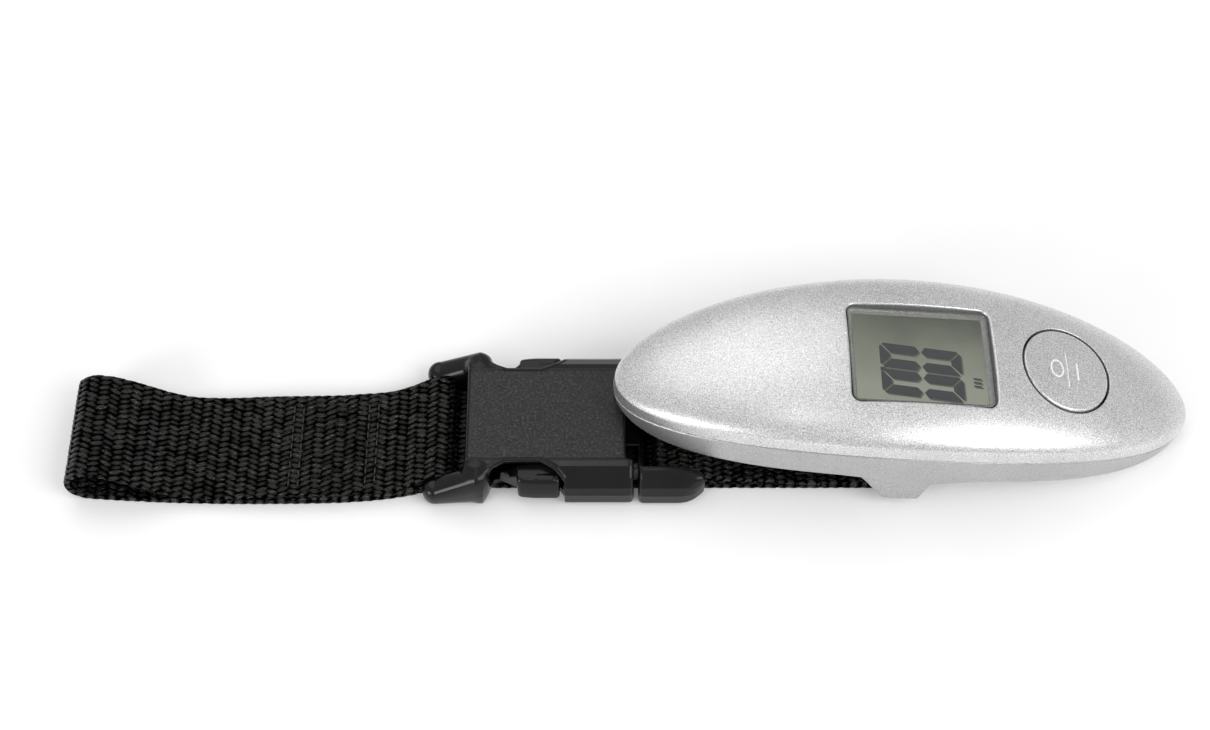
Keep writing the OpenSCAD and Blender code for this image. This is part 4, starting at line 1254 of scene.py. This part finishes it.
def plug_webbing():
    """The strand from the collar to the plug: its wrap goes with the plug, and the rest, which runs up to
    the wrap and back under it, stays with the strap.
    """
    bar_z = BUCKLE_Z + PLUG_BAR[2]
    bar_left = MOUTH_X + PLUG_BAR[0] + BAR_R
    wrap_end = -47.0
    top = eased(-36, HIGH_Z + 0.05, MOUTH_X + PLUG_BAR[1], bar_z + WRAP_R, 8)
    under = eased(MOUTH_X + PLUG_BAR[1], bar_z - WRAP_R, -40, MID_Z, 6)
    line = [p for p in top if p[0] < wrap_end - 0.2]
    first_z = float(np.interp(-wrap_end, [-p[0] for p in top], [p[1] for p in top]))
    last_z = float(np.interp(-wrap_end, [-p[0] for p in under], [p[1] for p in under]))
    line = [[wrap_end, first_z, 0]] + line + arc(bar_left, bar_z, WRAP_R, 90, 270, 9)
    line += [p for p in under if p[0] < wrap_end - 0.2] + [[wrap_end, last_z, 0]]
    piece, length = webbing("webbing_plug_wrap", line, 0.33, 72, "plug", [])
    line = [[RUN_START, MID_Z, 0], [-20, MID_Z, 0]] + eased(-26, HIGH_Z - 1, -30, HIGH_Z, 3)
    line += [p for p in top if p[0] > wrap_end + 0.2] + [[wrap_end, first_z, 0]]
    short, length = webbing("webbing_short", line, 0.34, 112, "strap", ["strap_short_strand"])
    line = [[wrap_end, last_z, 0]] + [p for p in under if p[0] > wrap_end + 0.2] + [[-31, MID_Z, 0]]
    tail, length = webbing("webbing_tail", line, 0.34, 72, "strap", [])
    for strand in (short, tail):
        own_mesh(strand)


def on_table(points):
    """From x and z in the handle's frame to line points in the table's."""
    cos, sin = math.cos(TILT), math.sin(TILT)
    return [[x * cos + z * sin, REST_HEIGHT - x * sin + z * cos, 0] for x, z in points]


def bend(leg, r, z_end):
    """A leg of the strap that leaves the collar and bends to the left, onto a height above the table."""
    start = np.array(on_table([(leg, EXIT_Z)])[0][:2])
    turn, down = math.pi / 2 - TILT, 1.5 * math.pi - TILT
    reach = max(0.02, (start[1] - r * (1 - math.cos(turn)) - z_end) / math.cos(TILT))
    knee = start + reach * np.array([math.cos(down), math.sin(down)])
    middle = knee + r * np.array([math.sin(down), -math.cos(down)])
    angles = np.linspace(down, math.pi, 8)
    made = [[middle[0] - r * math.sin(a), middle[1] + r * math.cos(a), 0] for a in angles]
    return made + [[RUN_START, z_end, 0]]


def anchor_webbing():
    """Round the pin in the handle, down through the collar, and out onto the table."""
    r = PIN_R + 0.08 + HALF
    inner_r = 0.6 + HALF
    left = [(-r + 0.25, -11.4), (-LEG_X - 0.5, -14.4), (-LEG_X, -16.2), (-LEG_X, EXIT_Z)]
    ring = [(r * math.cos(t), PIN_Z + r * math.sin(t)) for t in np.radians(np.linspace(180, 0, 13))]
    right = [(r - 0.25, -11.4), (LEG_X + 0.5, -14.4), (LEG_X, -16.2), (LEG_X, EXIT_Z)]
    line = bend(-LEG_X, inner_r, MID_Z)[::-1] + on_table(left[::-1]) + on_table(ring) + on_table(right)
    line += bend(LEG_X, inner_r + WEB_T + LAYER_GAP, LOW_Z)
    piece, length = webbing("webbing_anchor", line, 0.33, 72, None, ["strap_anchor_loop", "strap_bend"])
    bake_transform(piece)


def stitch_rows():
    """Rows of short thread stitches across both ends of the sewn zone."""
    points, faces = [], []
    for x in (TAIL_END + 2.2, TAIL_END + 4.2, SEWN_RIGHT - 1.6, SEWN_RIGHT - 3.6):
        for k in range(9):
            y0 = STRAP_Y + sway(x) - 9.9 + 2.2 * k + 0.2 * scatter(k, x)
            rings = []
            for i in range(7):
                rise = math.sin(math.pi * i / 6)
                thick = 0.2 * (0.55 + 0.45 * rise)
                z = HIGH_Z + HALF + 0.2 * rise - 0.12
                rings.append([(x + thick * math.cos(t), y0 + 1.7 * i / 6, z + thick * math.sin(t))
                              for t in ring_of(8)])
            add_tube(points, faces, rings)
    add_piece("stitch_rows", points, faces, TABLE, "thread", "strap", ["strap_stitching"])


def loose_fibres():
    """Short stray fibres that the sewing has pulled up in the sewn zone."""
    points, faces = [], []
    for k in range(170):
        x = TAIL_END + 1 + (SEWN_RIGHT - TAIL_END - 2) * (0.5 + 0.5 * scatter(k, 1))
        y = STRAP_Y + sway(x) + 11.6 * scatter(k, 2)
        heading = math.pi * scatter(k, 3)
        length = 1.6 + 0.9 * scatter(k, 4)
        rings = []
        for s in (0, 0.25, 0.5, 0.75, 1):
            turn = heading + 0.9 * scatter(k, 5) * s
            px = x + length * s * math.cos(turn)
            py = y + length * s * math.sin(turn)
            pz = HIGH_Z + HALF + 0.02 + 0.3 * math.sin(math.pi * s) * (0.7 + 0.3 * scatter(k, 6))
            thick = 0.055 * (1 - 0.5 * s)
            aside, ahead = thick * math.sin(turn), thick * math.cos(turn)
            rings.append([(px - aside, py + ahead, pz), (px, py, pz + 1.5 * thick),
                          (px + aside, py - ahead, pz)])
        add_tube(points, faces, rings)
    add_piece("loose_fibres", points, faces, TABLE, "thread", "strap")


# ---- the CAD nodes that show, the studio and the camera

CAMERA_PLACE = (-0.00544, -0.21740, 0.38123)
CAMERA_TURN = math.radians(31.33)   # 0 looks straight down
CAMERA_LENS = 59.78
FLOOR_REACH = 4.0
# each lamp's name, place, target, diameter and power
LAMPS = (("over", (-0.22, 0.48, 0.84), (0.02, 0, 0), 0.8, 1.4),
         ("front", (0.66, -0.42, 0.70), (0.08, 0, 0), 0.7, 4.0),
         ("left", (-0.78, -0.68, 0.40), (0, 0, 0.02), 0.5, 3.8),
         ("top", (-0.06, -0.1, 0.9), (-0.04, 0, 0), 0.22, 0.25))


def paint_cad_nodes():
    """Each CAD node that is kept gets the material of its slot in the record."""
    slot_of = {part["node"]: part["material_slot"] for part in frame["record"]["subparts"]}
    for name, node in frame["nodes"].items():
        if not node.hide_render:
            node.data.materials.clear()
            node.data.materials.append(MATERIALS[slot_of[name]])


def lay_floor():
    """A pale sheet of paper just below the table's height."""
    r = FLOOR_REACH
    mesh = bpy.data.meshes.new("floor")
    corners = [(x, y, -0.00002) for x, y in ((-r, -r), (r, -r), (r, r), (-r, r))]
    mesh.from_pydata(corners, [], [(0, 1, 2, 3)])
    floor = bpy.data.objects.new("floor", mesh)
    bpy.context.scene.collection.objects.link(floor)
    n = Nodes("floor_paper")
    n.colour(n.noise(40, 2.0), (0.3, 0.93), (0.7, 0.95))
    n.set(Roughness=0.9, Specular_IOR_Level=0.1, Emission_Color=(1, 1, 1, 1), Emission_Strength=0.06)
    floor.data.materials.append(n.material)


def light_studio():
    """A white world and four soft lamps."""
    scene = bpy.context.scene
    scene.view_settings.view_transform = "Standard"
    world = bpy.data.worlds.new("studio")
    world.use_nodes = True
    background = world.node_tree.nodes["Background"].inputs
    background["Color"].default_value = (1, 1, 1, 1)
    background["Strength"].default_value = 0.62
    scene.world = world
    for name, place, target, size, power in LAMPS:
        light = bpy.data.lights.new(name, "AREA")
        light.shape = "DISK"
        light.size = size
        light.energy = power
        lamp = bpy.data.objects.new(name, light)
        lamp.location = place
        lamp.rotation_euler = (Vector(target) - Vector(place)).to_track_quat("-Z", "Y").to_euler()
        scene.collection.objects.link(lamp)


def place_camera():
    """The camera looks down at the table from the front."""
    view = bpy.data.cameras.new("camera")
    view.lens = CAMERA_LENS
    view.sensor_width = 36
    eye = bpy.data.objects.new("camera", view)
    eye.location = CAMERA_PLACE
    eye.rotation_euler = (CAMERA_TURN, 0, 0)
    bpy.context.scene.collection.objects.link(eye)
    bpy.context.scene.camera = eye


place_camera()
lay_floor()
light_studio()
top_cover()
button_cap()
button_marks()
bevelled_plate("lens", WINDOW[0] - 0.2, WINDOW[1] - 0.2, LENS_Z, LENS_Z + LENS_T, WINDOW_R - 0.1, 0.7,
               "clear_lens", ["display_lens"])
bevelled_plate("lcd_glass", 28.4, 21.4, GLASS_TOP - 2.0, GLASS_TOP, 0.5, 0.15, "lcd", ["lcd_panel"])
lcd_digits()
display_frame()
for name, values in FIELD_PIECES.items():
    add_field_piece(name, *values)
upper_webbing(lower_webbing() / MM)
plug_webbing()
anchor_webbing()
stitch_rows()
loose_fibres()
paint_cad_nodes()
